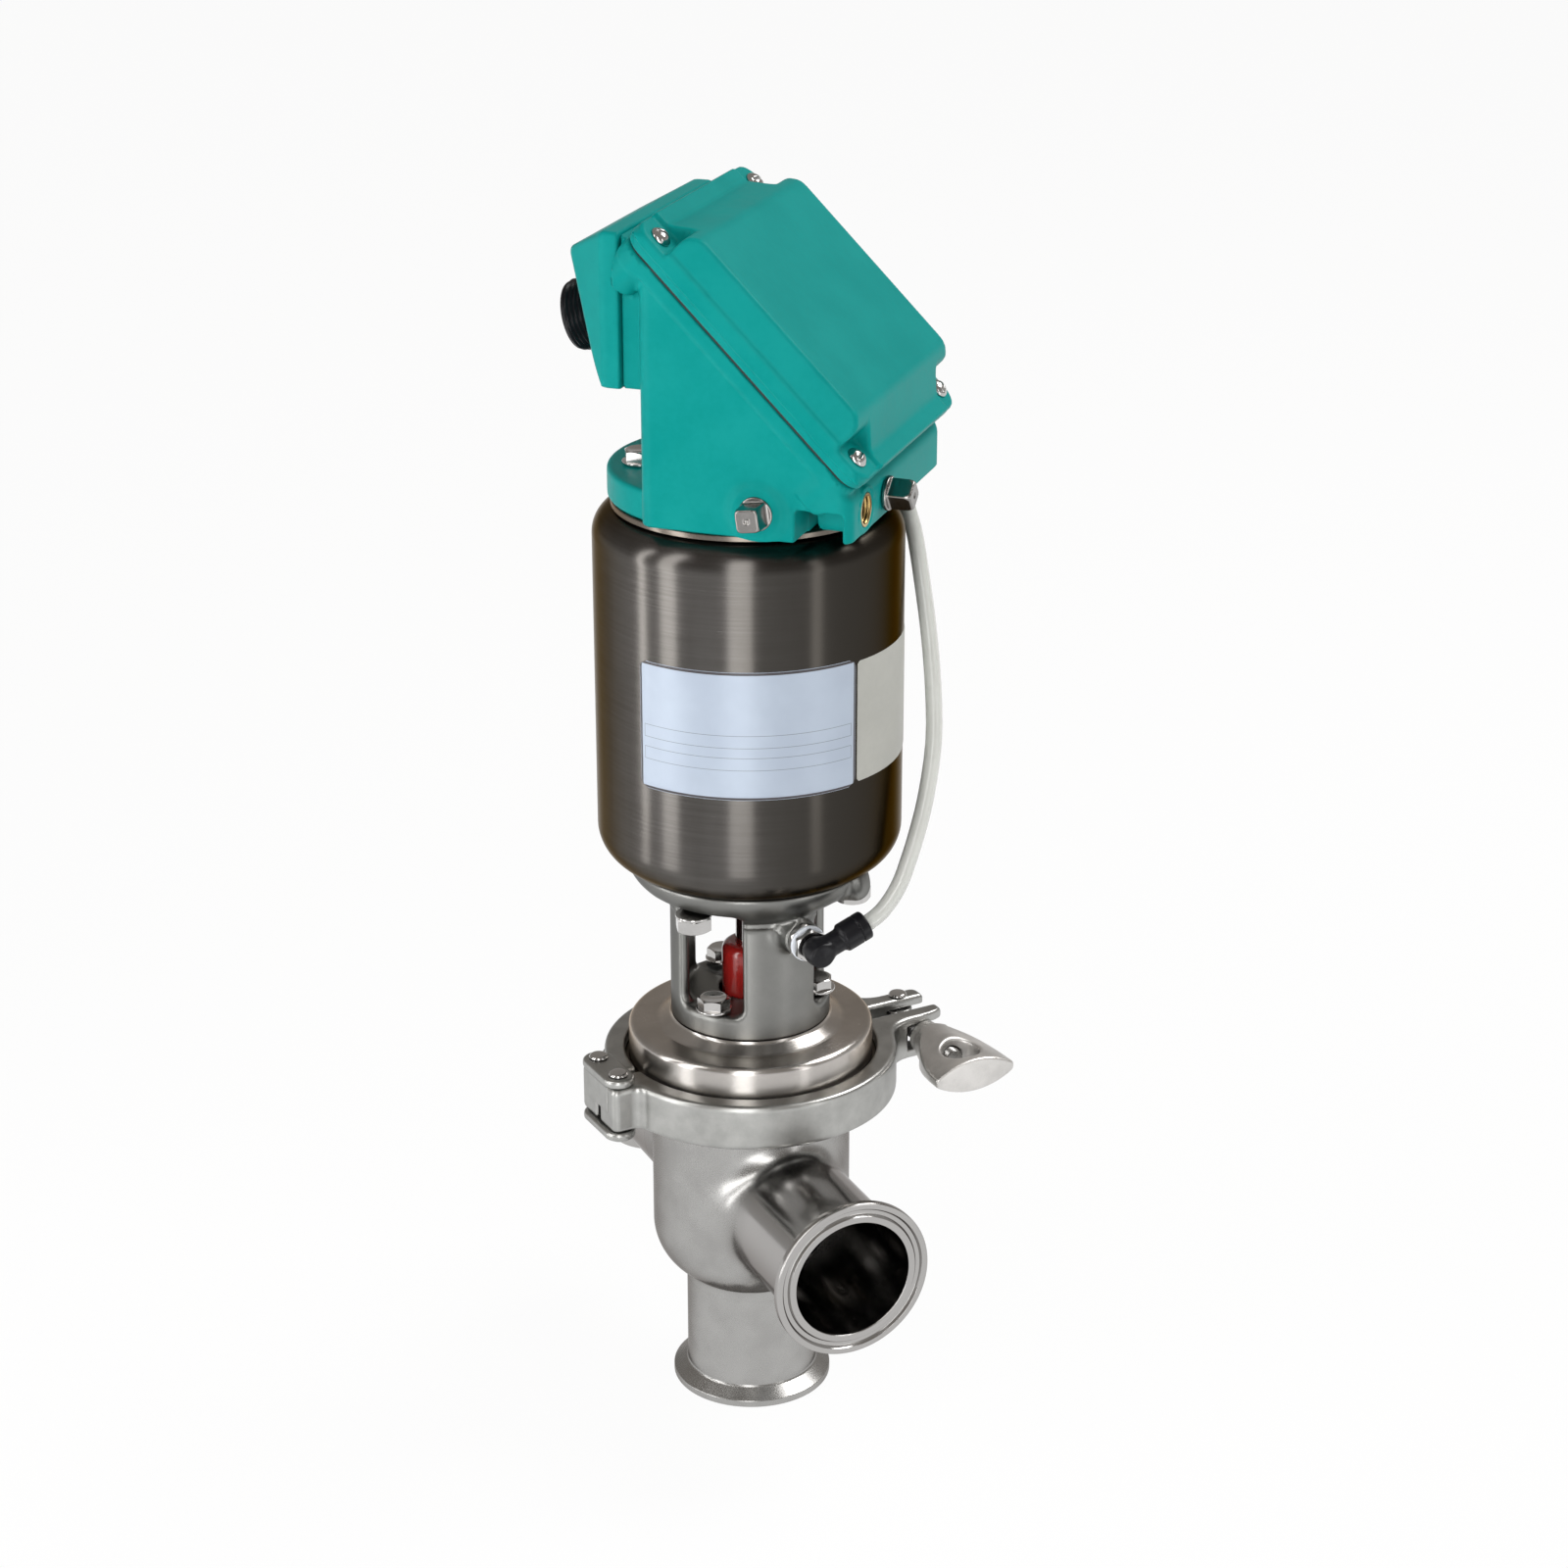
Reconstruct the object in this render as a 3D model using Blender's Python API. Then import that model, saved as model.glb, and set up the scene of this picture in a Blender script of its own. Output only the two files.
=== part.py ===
"""Air-actuated sanitary seat valve: a welded body with three clamp ferrules, a bonnet held by a
two-piece clamp, an open yoke, a spring-return cylinder and a control head with a sloping cover."""

from math import atan2, cos, degrees, pi, radians, sin, sqrt, tan

import bmesh
import bpy
from mathutils import Matrix, Vector

mm = 0.001
gap = 0.3 * mm            # clearance kept between pieces that touch

# Segments round large, middling and small turned pieces
round_big = 32
round_mid = 20
round_small = 10

# Valve body, z = 0 on the face of the bottom ferrule
port_bore = 23.75 * mm
port_tube = 26.2 * mm
ferrule_radius = 32.0 * mm
ferrule_rim = 2.9 * mm
ferrule_slope = 3.6 * mm
ferrule_groove_inner = 26.4 * mm
ferrule_groove_outer = 29.6 * mm
ferrule_groove_depth = 1.3 * mm
side_port_height = 90.0 * mm
side_port_reach = 93.4 * mm
bowl_radius = 39.5 * mm
bowl_wall = 2.5 * mm
bowl_round = 24.0 * mm
bowl_round_height = 72.0 * mm
weld_flare = 3.0 * mm
weld_length = 9.0 * mm
side_tube_joint = 50.0 * mm
bottom_tube_joint = 44.0 * mm
seat_height = 52.0 * mm
seat_width = 4.75 * mm

# Flanges, gasket and clamp, all set out from the middle of the clamp
joint_height = 140.05 * mm
body_gasket_thickness = 1.0 * mm
flange_radius = 52.5 * mm
flange_edge = 2.4 * mm
flange_taper = radians(20)
flange_neck = 45.5 * mm
clamp_height = 18.5 * mm
clamp_radius = 58.0 * mm
clamp_lip_radius = 50.0 * mm
clamp_groove_radius = 53.2 * mm
clamp_turn = radians(3.5)
ear_gap = 9.0 * mm
ear_thickness = 7.8 * mm
ear_length = 24.5 * mm
ear_reach = clamp_radius + ear_length
hinge_gap = 3.0 * mm
hinge_reach = 67.5 * mm
hinge_pin_place = 62.6 * mm
hinge_pin_spread = 17.4 * mm
hinge_pin_radius = 2.5 * mm
hinge_pin_head = 4.0 * mm
hinge_head_height = 1.2 * mm
link_thickness = 3.6 * mm
link_width = 12.5 * mm

# Swing bolt and wing nut
bolt_inset = 10.0 * mm
bolt_place = ear_reach - bolt_inset
bolt_radius = 4.0 * mm
bolt_end = 37.0 * mm
eye_radius = 6.0 * mm
eye_height = 8.8 * mm
slot_height = 9.6 * mm
slot_depth_behind_eye = 0.8 * mm
bolt_pin_radius = 2.5 * mm
nut_boss_radius = 6.8 * mm
nut_boss_length = 9.0 * mm
nut_length = 40.5 * mm
nut_half_span = 18.0 * mm
nut_half_thickness = 7.0 * mm
nut_tip_half_thickness = 1.5 * mm
nut_hole_radius = 7.5 * mm
nut_hole_place = 28.5 * mm

# Bonnet
bonnet_radius = 48.2 * mm
bonnet_rim_top = 158.2 * mm
bonnet_edge_round = 2.4 * mm
bonnet_top = 164.2 * mm
bonnet_shoulder = 37.0 * mm
bonnet_spigot_depth = 3.0 * mm
bonnet_web_under = 147.0 * mm
bonnet_hub_radius = 15.0 * mm
bonnet_hub_bottom = 124.0 * mm
bonnet_pilot_radius = 11.9 * mm
bonnet_pilot_height = 2.8 * mm
bushing_radius = 8.6 * mm
stem_seal_height = 3.4 * mm

# Yoke
yoke_radius = 31.3 * mm
yoke_wall = 4.6 * mm
yoke_floor = bonnet_top + 9.7 * mm
yoke_ceiling = bonnet_top + 56.5 * mm
yoke_flare = 15.0 * mm
cap_radius_low = 46.5 * mm
cap_radius_high = 47.3 * mm
cap_top = bonnet_top + 66.8 * mm
yoke_window_angles = (213, 327, 90)
yoke_window_half = 27.0
yoke_rod_bore = 9.0 * mm
yoke_bolt_circle = 26.5 * mm
yoke_bolt_radius = 3.0 * mm
yoke_bolt_flats = 11.1 * mm
yoke_bolt_head = 4.2 * mm
yoke_bolt_depth = 6.0 * mm
washer_radius = 7.0 * mm
washer_thickness = 1.1 * mm
cap_bolt_circle = 40.0 * mm
cap_bolt_radius = 3.2 * mm
cap_bolt_flats = 12.7 * mm
cap_bolt_head = 5.5 * mm
cap_bolt_depth = 8.0 * mm
cap_lug_angle = 308
cap_lug_radius = 4.6 * mm
cap_lug_reach = 51.5 * mm
cap_lug_height = cap_top - 6.4 * mm

# Cylinder
cylinder_radius = 58.65 * mm
cylinder_wall = 2.2 * mm
cylinder_bottom_round = 14.6 * mm
cylinder_top_round = 11.0 * mm
cylinder_top = cap_top + 142.0 * mm
cylinder_floor_hole = 34.0 * mm
cylinder_mouth = 47.0 * mm
base_plate_radius = 45.4 * mm
base_plate_thickness = 9.5 * mm
stop_ring_radius = 18.0 * mm
stop_ring_height = 3.6 * mm
piston_thickness = 12.0 * mm
piston_seal_width = 3.0 * mm
piston_seal_height = 4.0 * mm
piston_hub_radius = 15.0 * mm
piston_hub_height = 8.0 * mm
rod_nut_flats = 19.0 * mm
rod_nut_height = 8.0 * mm
spring_radius = 34.0 * mm
spring_wire = 3.6 * mm
spring_turns = 6.5
top_ring_radius = 51.5 * mm
top_ring_thickness = 3.0 * mm
top_spigot_depth = 7.0 * mm

# Stem train
stem_radius = 5.8 * mm
plug_hub_radius = 10.0 * mm
plug_hub_top = 80.0 * mm
plug_disc_radius = 29.5 * mm
plug_nose_radius = 22.4 * mm
plug_nose_depth = 7.0 * mm
plug_seal_thickness = 1.2 * mm
coupling_radius = 11.2 * mm
coupling_bottom = bonnet_top + 5.6 * mm
coupling_top = coupling_bottom + 23.7 * mm
coupling_round = 3.5 * mm
rod_top = cylinder_top + 37.0 * mm
target_radius = 9.0 * mm
target_height = 5.0 * mm

# Air fitting on the yoke, elbow and hose
fitting_offset = 4.0 * mm
fitting_height = bonnet_top + 45.3 * mm
air_boss_radius = 7.2 * mm
air_boss_reach = 40.0 * mm
air_thread_radius = 4.2 * mm
air_thread_depth = 8.0 * mm
air_hex_flats = 12.5 * mm
air_hex_length = 2.8 * mm
air_neck_radius = 4.4 * mm
seal_ring_radius = 6.5 * mm
seal_ring_width = 1.6 * mm
elbow_radius = 5.6 * mm
elbow_body_length = 10.0 * mm
elbow_arm_length = 21.5 * mm
elbow_collar_radius = 6.2 * mm
elbow_collar_length = 11.0 * mm
elbow_tilt = radians(12)
hose_radius = 4.0 * mm
head_fitting_u = 45.6 * mm
head_fitting_v = 45.0 * mm
head_fitting_length = 10.8 * mm
head_fitting_radius = 6.4 * mm

# Control head, set out along u (the way the cover faces) and v (across it)
head_turn = radians(-44.5)
head_base = cylinder_top + 3.6 * mm
disc_radius = 52.5 * mm
disc_thickness = 11.6 * mm
housing_half_width = 54.5 * mm
housing_rear = -22.5 * mm
housing_front = 58.0 * mm
rear_corner = 5.0 * mm
front_corner = 6.0 * mm
housing_wall = 4.0 * mm
housing_floor = 7.6 * mm
notch_rear = 37.0 * mm
notch_rise = 9.0 * mm
skirt_thickness = 4.0 * mm
skirt_rise = 1.4 * mm
lip_thickness = 4.6 * mm
slope_middle_u = 15.4 * mm
slope_middle_z = head_base + 62.4 * mm
cover_half_length = 60.0 * mm
cover_half_width = 56.0 * mm
cover_corner = 7.5 * mm
cover_gasket_thickness = 1.9 * mm
cover_gasket_inset = 1.0 * mm
cover_gasket_band = 12.0 * mm
cover_flange = 8.2 * mm
dome_rise = 11.5 * mm
dome_half_length_low = 55.0 * mm
dome_half_length_top = 40.5 * mm
dome_draft = 2.6 * mm
dome_edge = 2.2 * mm
recess_length = 15.0 * mm
recess_width = 15.5 * mm
recess_floor = 1.9 * mm
cover_wall = 3.4 * mm
cover_cavity_half_length = 41.0 * mm
screw_inset = 7.5 * mm
screw_radius = 2.4 * mm
screw_head_radius = 4.2 * mm
screw_head_height = 2.6 * mm
screw_depth = 9.0 * mm
screw_boss_radius = 7.0 * mm
screw_boss_depth = 14.0 * mm
plug_thread_radius = 5.2 * mm
plug_collar_radius = 6.4 * mm
plug_collar_thickness = 1.8 * mm
plug_head_width = 8.6 * mm
plug_head_length = 9.0 * mm
plug_thread_depth = 9.0 * mm
plug_boss_radius = 8.6 * mm
side_plug_u = 23.0 * mm
side_plug_rise = 10.2 * mm
port_hole_radius = 6.2 * mm
port_hole_v = -36.0 * mm
front_plug_v = -14.0 * mm
front_port_rise = 9.6 * mm
port_boss_length = 16.0 * mm
port_boss_proud = 0.4 * mm
port_hole_depth = 12.0 * mm
head_bolt_u = -37.0 * mm
head_bolt_v = 15.0 * mm

# Terminal box on the back of the head
box_bottom = head_base + 48.4 * mm
box_top = box_bottom + 57.0 * mm
box_seam = -31.0 * mm
box_half_width = 48.0 * mm
box_foot_depth = 7.0 * mm
box_foot_rise = 6.5 * mm
box_back_low = 9.0 * mm
box_back_high = 20.5 * mm
box_back_top = box_top - 8.0 * mm
box_chamfer = 9.0 * mm
box_wall = 4.0 * mm
conduit_radius = 13.4 * mm
conduit_bore = 9.5 * mm
conduit_length = 21.0 * mm
conduit_v = -10.0 * mm
conduit_z = box_bottom + 21.0 * mm

# Pieces inside the head
bracket_v = 24.0 * mm
bracket_thickness = 2.0 * mm
bracket_height = 44.0 * mm
bracket_length = 30.0 * mm
switch_length = 20.0 * mm
switch_thickness = 8.0 * mm
switch_height = 12.0 * mm
switch_low_rise = 20.0 * mm
switch_spacing = 22.0 * mm
solenoid_radius = 9.0 * mm
solenoid_length = 34.0 * mm
solenoid_v = -28.0 * mm
terminal_length = 56.0 * mm
terminal_depth = 6.0 * mm
terminal_height = 14.0 * mm
terminal_rise = 23.0 * mm

# Worked-out heights
body_face = joint_height - body_gasket_thickness / 2 - gap
bonnet_face = joint_height + body_gasket_thickness / 2 + gap
clamp_low = joint_height - clamp_height / 2
clamp_high = joint_height + clamp_height / 2
base_plate_bottom = cap_top + cylinder_wall + 2 * gap
base_plate_top = base_plate_bottom + base_plate_thickness
stop_top = base_plate_top + stop_ring_height
piston_bottom = stop_top + gap
piston_top = piston_bottom + piston_thickness
bore_radius = cylinder_radius - cylinder_wall
top_spigot_bottom = cylinder_top + gap - top_spigot_depth
slope = radians(45)

# The origin lies under the middle of the whole part, so the valve's axis stands beside it
part_right = (bolt_place + nut_half_span) * cos(clamp_turn) \
    + (ear_gap / 2 + ear_thickness + gap + nut_length) * sin(clamp_turn)
part_left = (hinge_pin_place + link_width / 2) * cos(clamp_turn) + hinge_pin_spread / 2 * sin(clamp_turn)
axis_x = (part_left - part_right) / 2
axis_y = 0.0


def clear_scene():
    for old in list(bpy.data.objects):
        bpy.data.objects.remove(old, do_unlink=True)


def material(name, colour, metallic, roughness):
    made = bpy.data.materials.get(name) or bpy.data.materials.new(name)
    made.use_nodes = True
    shader = made.node_tree.nodes["Principled BSDF"]
    shader.inputs["Base Color"].default_value = (*colour, 1.0)
    shader.inputs["Metallic"].default_value = metallic
    shader.inputs["Roughness"].default_value = roughness
    return made


finishes = {
    "steel": ((0.62, 0.60, 0.57), 1.0, 0.25),
    "cast steel": ((0.56, 0.55, 0.53), 1.0, 0.42),
    "brushed steel": ((0.50, 0.47, 0.44), 1.0, 0.35),
    "bright steel": ((0.75, 0.75, 0.74), 1.0, 0.15),
    "spring steel": ((0.30, 0.30, 0.31), 1.0, 0.40),
    "brass": ((0.70, 0.52, 0.25), 1.0, 0.30),
    "green paint": ((0.0, 0.33, 0.28), 0.0, 0.35),
    "red enamel": ((0.55, 0.02, 0.02), 0.0, 0.15),
    "black rubber": ((0.02, 0.02, 0.02), 0.0, 0.70),
    "white seal": ((0.80, 0.83, 0.86), 0.0, 0.40),
    "black plastic": ((0.02, 0.02, 0.025), 0.0, 0.35),
    "bronze bush": ((0.55, 0.42, 0.25), 1.0, 0.40),
    "milky tube": ((0.78, 0.82, 0.74), 0.0, 0.30),
    "grey plastic": ((0.35, 0.36, 0.37), 0.0, 0.50),
}


def finish(obj, finish_name, smooth=True):
    colour, metallic, roughness = finishes[finish_name]
    obj.data.materials.clear()
    obj.data.materials.append(material(obj.name, colour, metallic, roughness))
    if smooth and obj.type == "MESH":
        obj.data.shade_smooth()
        obj.data.set_sharp_from_angle(angle=radians(32))
    return obj


def frame(name, location, turn=0.0, tilt=None):
    """An empty that carries the pieces set out in its own directions."""
    empty = bpy.data.objects.new(name, None)
    bpy.context.scene.collection.objects.link(empty)
    empty.location = location
    empty.rotation_euler = (0.0, 0.0, turn)
    if tilt is not None:
        empty.rotation_euler = tilt
    return empty


def add(name, bm, parent):
    bmesh.ops.remove_doubles(bm, verts=bm.verts, dist=1e-6)
    bmesh.ops.recalc_face_normals(bm, faces=bm.faces)
    mesh = bpy.data.meshes.new(name)
    bm.to_mesh(mesh)
    bm.free()
    obj = bpy.data.objects.new(name, mesh)
    bpy.context.scene.collection.objects.link(obj)
    obj.parent = parent
    return obj


def arc(centre_a, centre_b, radius, start, end, steps):
    """Points on an arc, angles in degrees."""
    points = []
    for i in range(steps + 1):
        angle = radians(start + (end - start) * i / steps)
        points.append((centre_a + radius * cos(angle), centre_b + radius * sin(angle)))
    return points


def rounded(corners, steps=5):
    """A closed outline from corners (a, b, radius), each rounded by its own radius."""
    points = []
    count = len(corners)
    for i, (a, b, radius) in enumerate(corners):
        here = Vector((a, b))
        if radius <= 0:
            points.append((a, b))
            continue
        to_last = (Vector(corners[i - 1][:2]) - here).normalized()
        to_next = (Vector(corners[(i + 1) % count][:2]) - here).normalized()
        half = to_last.angle(to_next) / 2
        centre = here + (to_last + to_next).normalized() * (radius / sin(half))
        first = here + to_last * (radius / tan(half)) - centre
        last = here + to_next * (radius / tan(half)) - centre
        start = atan2(first.y, first.x)
        sweep = (atan2(last.y, last.x) - start + pi) % (2 * pi) - pi
        for k in range(steps + 1):
            angle = start + sweep * k / steps
            points.append((centre.x + radius * cos(angle), centre.y + radius * sin(angle)))
    return points


def turned(name, profile, parent, steps=round_big):
    """A closed profile (radius, height) spun about the local z axis."""
    bm = bmesh.new()
    verts = [bm.verts.new((r, 0.0, z)) for r, z in profile]
    edges = []
    for i, vert in enumerate(verts):
        following = verts[(i + 1) % len(verts)]
        if vert.co.x < 1e-9 and following.co.x < 1e-9:
            continue
        edges.append(bm.edges.new((vert, following)))
    bmesh.ops.spin(bm, geom=verts + edges, cent=(0, 0, 0), axis=(0, 0, 1), angle=2 * pi,
                   steps=steps, use_merge=False, use_duplicate=False)
    return add(name, bm, parent)


def prism(name, outline, low, high, parent, axis="z"):
    """An outline pushed from low to high along the local x, y or z axis."""
    place = {
        "z": lambda a, b, c: (a, b, c),
        "y": lambda a, b, c: (a, c, b),
        "x": lambda a, b, c: (c, a, b),
    }[axis]
    bm = bmesh.new()
    face = bm.faces.new([bm.verts.new(place(a, b, low)) for a, b in outline])
    pushed = bmesh.ops.extrude_face_region(bm, geom=[face])
    shift = Vector(place(0.0, 0.0, high - low))
    moved = [item for item in pushed["geom"] if isinstance(item, bmesh.types.BMVert)]
    bmesh.ops.translate(bm, verts=moved, vec=shift)
    return add(name, bm, parent)


def block(name, low, high, parent):
    outline = [(low[0], low[1]), (high[0], low[1]), (high[0], high[1]), (low[0], high[1])]
    return prism(name, outline, low[2], high[2], parent)


def loft(name, low_half, high_half, low, high, parent):
    """A block whose half sizes go from low_half to high_half."""
    bm = bmesh.new()
    rings = []
    for (half_a, half_b), level in ((low_half, low), (high_half, high)):
        corners = ((-half_a, -half_b), (half_a, -half_b), (half_a, half_b), (-half_a, half_b))
        rings.append([bm.verts.new((a, b, level)) for a, b in corners])
    bm.faces.new(rings[0])
    bm.faces.new(rings[1])
    for i in range(4):
        k = (i + 1) % 4
        bm.faces.new((rings[0][i], rings[0][k], rings[1][k], rings[1][i]))
    return add(name, bm, parent)


def rod(name, radius, start, end, parent, steps=round_small, sides_flat=False):
    """A bar from start to end; with few steps and flat sides it is a hexagon or a square."""
    start, end = Vector(start), Vector(end)
    along = end - start
    bm = bmesh.new()
    bmesh.ops.create_cone(bm, cap_ends=True, cap_tris=False, segments=steps,
                          radius1=radius, radius2=radius, depth=along.length)
    spin = Matrix.Rotation(pi / steps if sides_flat else 0.0, 4, "Z")
    turn = along.to_track_quat("Z", "Y").to_matrix().to_4x4()
    bmesh.ops.transform(bm, matrix=Matrix.Translation((start + end) / 2) @ turn @ spin, verts=bm.verts)
    return add(name, bm, parent)


def hex_radius(flats):
    return flats / 2 / cos(pi / 6)


def guide(obj):
    """Marks an object as a cutter or a pattern that is no piece of the part."""
    obj.hide_render = True
    obj.display_type = "WIRE"
    return obj


def combine(obj, other, operation):
    guide(other)
    modifier = obj.modifiers.new(operation.lower() + " " + other.name, "BOOLEAN")
    modifier.operation = operation
    modifier.solver = "EXACT"
    modifier.object = other
    return obj


def cut(obj, other):
    return combine(obj, other, "DIFFERENCE")


def join(obj, other):
    return combine(obj, other, "UNION")


def bevel(obj, width, segments=2, angle=40):
    modifier = obj.modifiers.new("edge rounding", "BEVEL")
    modifier.width = width
    modifier.segments = segments
    modifier.limit_method = "ANGLE"
    modifier.angle_limit = radians(angle)
    return obj


def make_port_tube(name, base, face, way, joint):
    """Tube with a clamp ferrule: a profile (radius, distance behind the ferrule's face)."""
    inner, outer = ferrule_groove_inner, ferrule_groove_outer
    lean = ferrule_groove_depth / 2
    profile = [
        (port_bore, 0.0), (inner, 0.0), (inner + lean, ferrule_groove_depth),
        (outer - lean, ferrule_groove_depth),
        (outer, 0.0), (ferrule_radius, 0.0), (ferrule_radius, ferrule_rim),
        (port_tube, ferrule_rim + ferrule_slope), (port_tube, joint), (port_bore, joint),
    ]
    tube = turned(name, profile, base)
    tube.rotation_euler = (-way * pi / 2, 0.0, 0.0)
    tube.location = face
    return finish(tube, "steel")


def make_body(base):
    """The bowl is turned; the cross tube and the bores are then joined and cut."""
    round_centre = bowl_radius - bowl_round
    inner_radius = bowl_radius - bowl_wall
    tube_meets = bowl_round_height - sqrt(bowl_round ** 2 - (port_tube - round_centre) ** 2)
    start = degrees(atan2(tube_meets - bowl_round_height, port_tube - round_centre))
    outer = [(0.0, bottom_tube_joint), (port_tube, bottom_tube_joint)]
    outer += arc(round_centre, bowl_round_height, bowl_round, start, 0, 6)
    taper_top = body_face - flange_edge
    taper_low = taper_top - (flange_radius - flange_neck) * tan(flange_taper)
    outer += [
        (bowl_radius, taper_low - (flange_neck - bowl_radius)),
        (flange_neck, taper_low),
        (flange_radius, taper_top),
        (flange_radius, body_face),
        (0.0, body_face),
    ]
    body = turned("valve_body", outer, base)
    weld = bowl_radius + weld_length
    wide = port_tube + weld_flare
    side = [(0.0, -side_tube_joint), (0.0, side_tube_joint), (port_tube, side_tube_joint), (port_tube, weld),
            (wide, inner_radius), (wide, -inner_radius), (port_tube, -weld), (port_tube, -side_tube_joint)]
    cross = turned("cross tube", side, base, steps=28)
    lay_along_y(cross, side_port_height)
    join(body, cross)
    inside_round = bowl_round - bowl_wall
    floor_centre = seat_height + seat_width + sqrt(
        inside_round ** 2 - (port_bore + seat_width - round_centre) ** 2)
    start = degrees(atan2(seat_height + seat_width - floor_centre, port_bore + seat_width - round_centre))
    inside_low = bottom_tube_joint - gap
    inside = [(0.0, inside_low), (port_bore, inside_low), (port_bore, seat_height)]
    inside += arc(round_centre, floor_centre, inside_round, start, 0, 5)
    inside += [(inner_radius, body_face + gap), (0.0, body_face + gap)]
    cut(body, turned("bowl space", inside, base))
    through = side_tube_joint + gap
    bore = turned("cross bore", [(0.0, -through), (0.0, through), (port_bore, through),
                                 (port_bore, -through)],
                  base, steps=28)
    lay_along_y(bore, side_port_height)
    cut(body, bore)
    finish(body, "steel")
    side_length = side_port_reach - side_tube_joint - gap
    make_port_tube("bottom_port_tube", base, (0.0, 0.0, 0.0), 0, bottom_tube_joint - gap)
    make_port_tube("front_port_tube", base, (0.0, -side_port_reach, side_port_height), 1, side_length)
    make_port_tube("rear_port_tube", base, (0.0, side_port_reach, side_port_height), -1, side_length)
    return body


def lay_along_y(obj, height):
    obj.rotation_euler = (-pi / 2, 0.0, 0.0)
    obj.location = (0.0, 0.0, height)
    return obj


def make_seat_joint(base):
    ring = [
        (bowl_radius - bowl_wall + 2 * gap, joint_height - body_gasket_thickness / 2),
        (flange_radius - 2 * gap, joint_height - body_gasket_thickness / 2),
        (flange_radius - 2 * gap, joint_height + body_gasket_thickness / 2),
        (bowl_radius - bowl_wall + 2 * gap, joint_height + body_gasket_thickness / 2),
    ]
    finish(turned("body_gasket", ring, base), "black rubber")


def make_bonnet(base):
    """Turned cover of the bowl: clamp flange, disc with a rounded edge, fillet and pilot for the yoke."""
    taper_low = bonnet_face + flange_edge
    taper_top = taper_low + (flange_radius - bonnet_radius) * tan(flange_taper)
    pilot_top = bonnet_top + bonnet_pilot_height
    spigot_radius = bowl_radius - bowl_wall - gap
    spigot_bottom = bonnet_face - bonnet_spigot_depth
    fillet = bonnet_shoulder - yoke_radius
    profile = [
        (bushing_radius + gap, bonnet_hub_bottom),
        (bonnet_hub_radius, bonnet_hub_bottom),
        (bonnet_hub_radius, bonnet_web_under),
        (spigot_radius - 2 * bowl_wall, bonnet_web_under),
        (spigot_radius - bowl_wall, spigot_bottom),
        (spigot_radius, spigot_bottom),
        (spigot_radius, bonnet_face),
        (flange_radius, bonnet_face),
        (flange_radius, taper_low),
        (bonnet_radius, taper_top),
    ]
    edge_radius = bonnet_radius - bonnet_edge_round
    profile += arc(edge_radius, bonnet_rim_top, bonnet_edge_round, 0, 90, 3)
    foot = bonnet_rim_top + bonnet_edge_round
    rise = bonnet_top - foot
    for i in range(1, 5):
        share = i / 4 * pi / 2
        profile.append((bonnet_shoulder - fillet * sin(share), foot + rise * (1 - cos(share))))
    profile += [
        (bonnet_pilot_radius, bonnet_top),
        (bonnet_pilot_radius, pilot_top),
        (bushing_radius + gap, pilot_top),
    ]
    bonnet = turned("bonnet", profile, base)
    for angle in yoke_window_angles:
        x, y = around(yoke_bolt_circle, angle)
        hole = rod(f"bonnet thread {angle}", yoke_bolt_radius + gap,
                   (x, y, bonnet_top - yoke_bolt_depth - gap), (x, y, bonnet_top + gap), base)
        cut(bonnet, hole)
    finish(bonnet, "steel")
    bush_bottom = bonnet_hub_bottom + stem_seal_height + gap
    for name, low, high, look in (
        ("stem_seal", bonnet_hub_bottom, bonnet_hub_bottom + stem_seal_height, "black rubber"),
        ("stem_bushing", bush_bottom, pilot_top, "bronze bush"),
    ):
        ring = [(stem_radius + gap, low), (bushing_radius, low), (bushing_radius, high),
                (stem_radius + gap, high)]
        finish(turned(name, ring, base, steps=round_mid), look)


def around(radius, angle):
    return radius * cos(radians(angle)), radius * sin(radians(angle))


def clamp_outline(side):
    """Plan of one clamp half, side -1 for the front half and 1 for the rear one."""
    ear_face = ear_gap / 2 + ear_thickness
    shoulder = 1.045 * clamp_radius
    corners = [
        (-0.75 * clamp_radius, hinge_gap / 2, 0.0),
        (0.75 * clamp_radius, ear_gap / 2, 0.0),
        (ear_reach, ear_gap / 2, 1.2 * mm),
        (ear_reach, ear_face, 2.5 * mm),
        (ear_reach - 17.0 * mm, ear_face, 5.0 * mm),
        (clamp_radius * 0.985, 0.36 * clamp_radius, 6.0 * mm),
        (shoulder * cos(radians(50)), shoulder * sin(radians(50)), 9.0 * mm),
    ]
    outline = rounded(corners)
    outline += arc(0.0, 0.0, clamp_radius, 62, 163, 14)
    outline += rounded([(-hinge_reach, 13.0 * mm, 1.2 * mm), (-hinge_reach, hinge_gap / 2, 0.6 * mm),
                        (-hinge_reach + 9.0 * mm, 0.8 * hinge_gap, 0.0)], steps=3)[:-1]
    return [(x, side * y) for x, y in outline]


def clamp_space(base, name):
    """The space that the two flanges take in the clamp: a bore with a tapered groove."""
    slack = gap / cos(flange_taper)
    slope_rate = tan(flange_taper)
    half_thickness = bonnet_face + flange_edge - joint_height
    groove = half_thickness - (clamp_groove_radius - flange_radius) * slope_rate + slack
    lip = half_thickness + (flange_radius - clamp_lip_radius) * slope_rate + slack
    profile = [
        (0.0, clamp_low - gap), (clamp_lip_radius, clamp_low - gap),
        (clamp_lip_radius, joint_height - lip), (clamp_groove_radius, joint_height - groove),
        (clamp_groove_radius, joint_height + groove), (clamp_lip_radius, joint_height + lip),
        (clamp_lip_radius, clamp_high + gap), (0.0, clamp_high + gap),
    ]
    return turned(name, profile, base)


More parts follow.
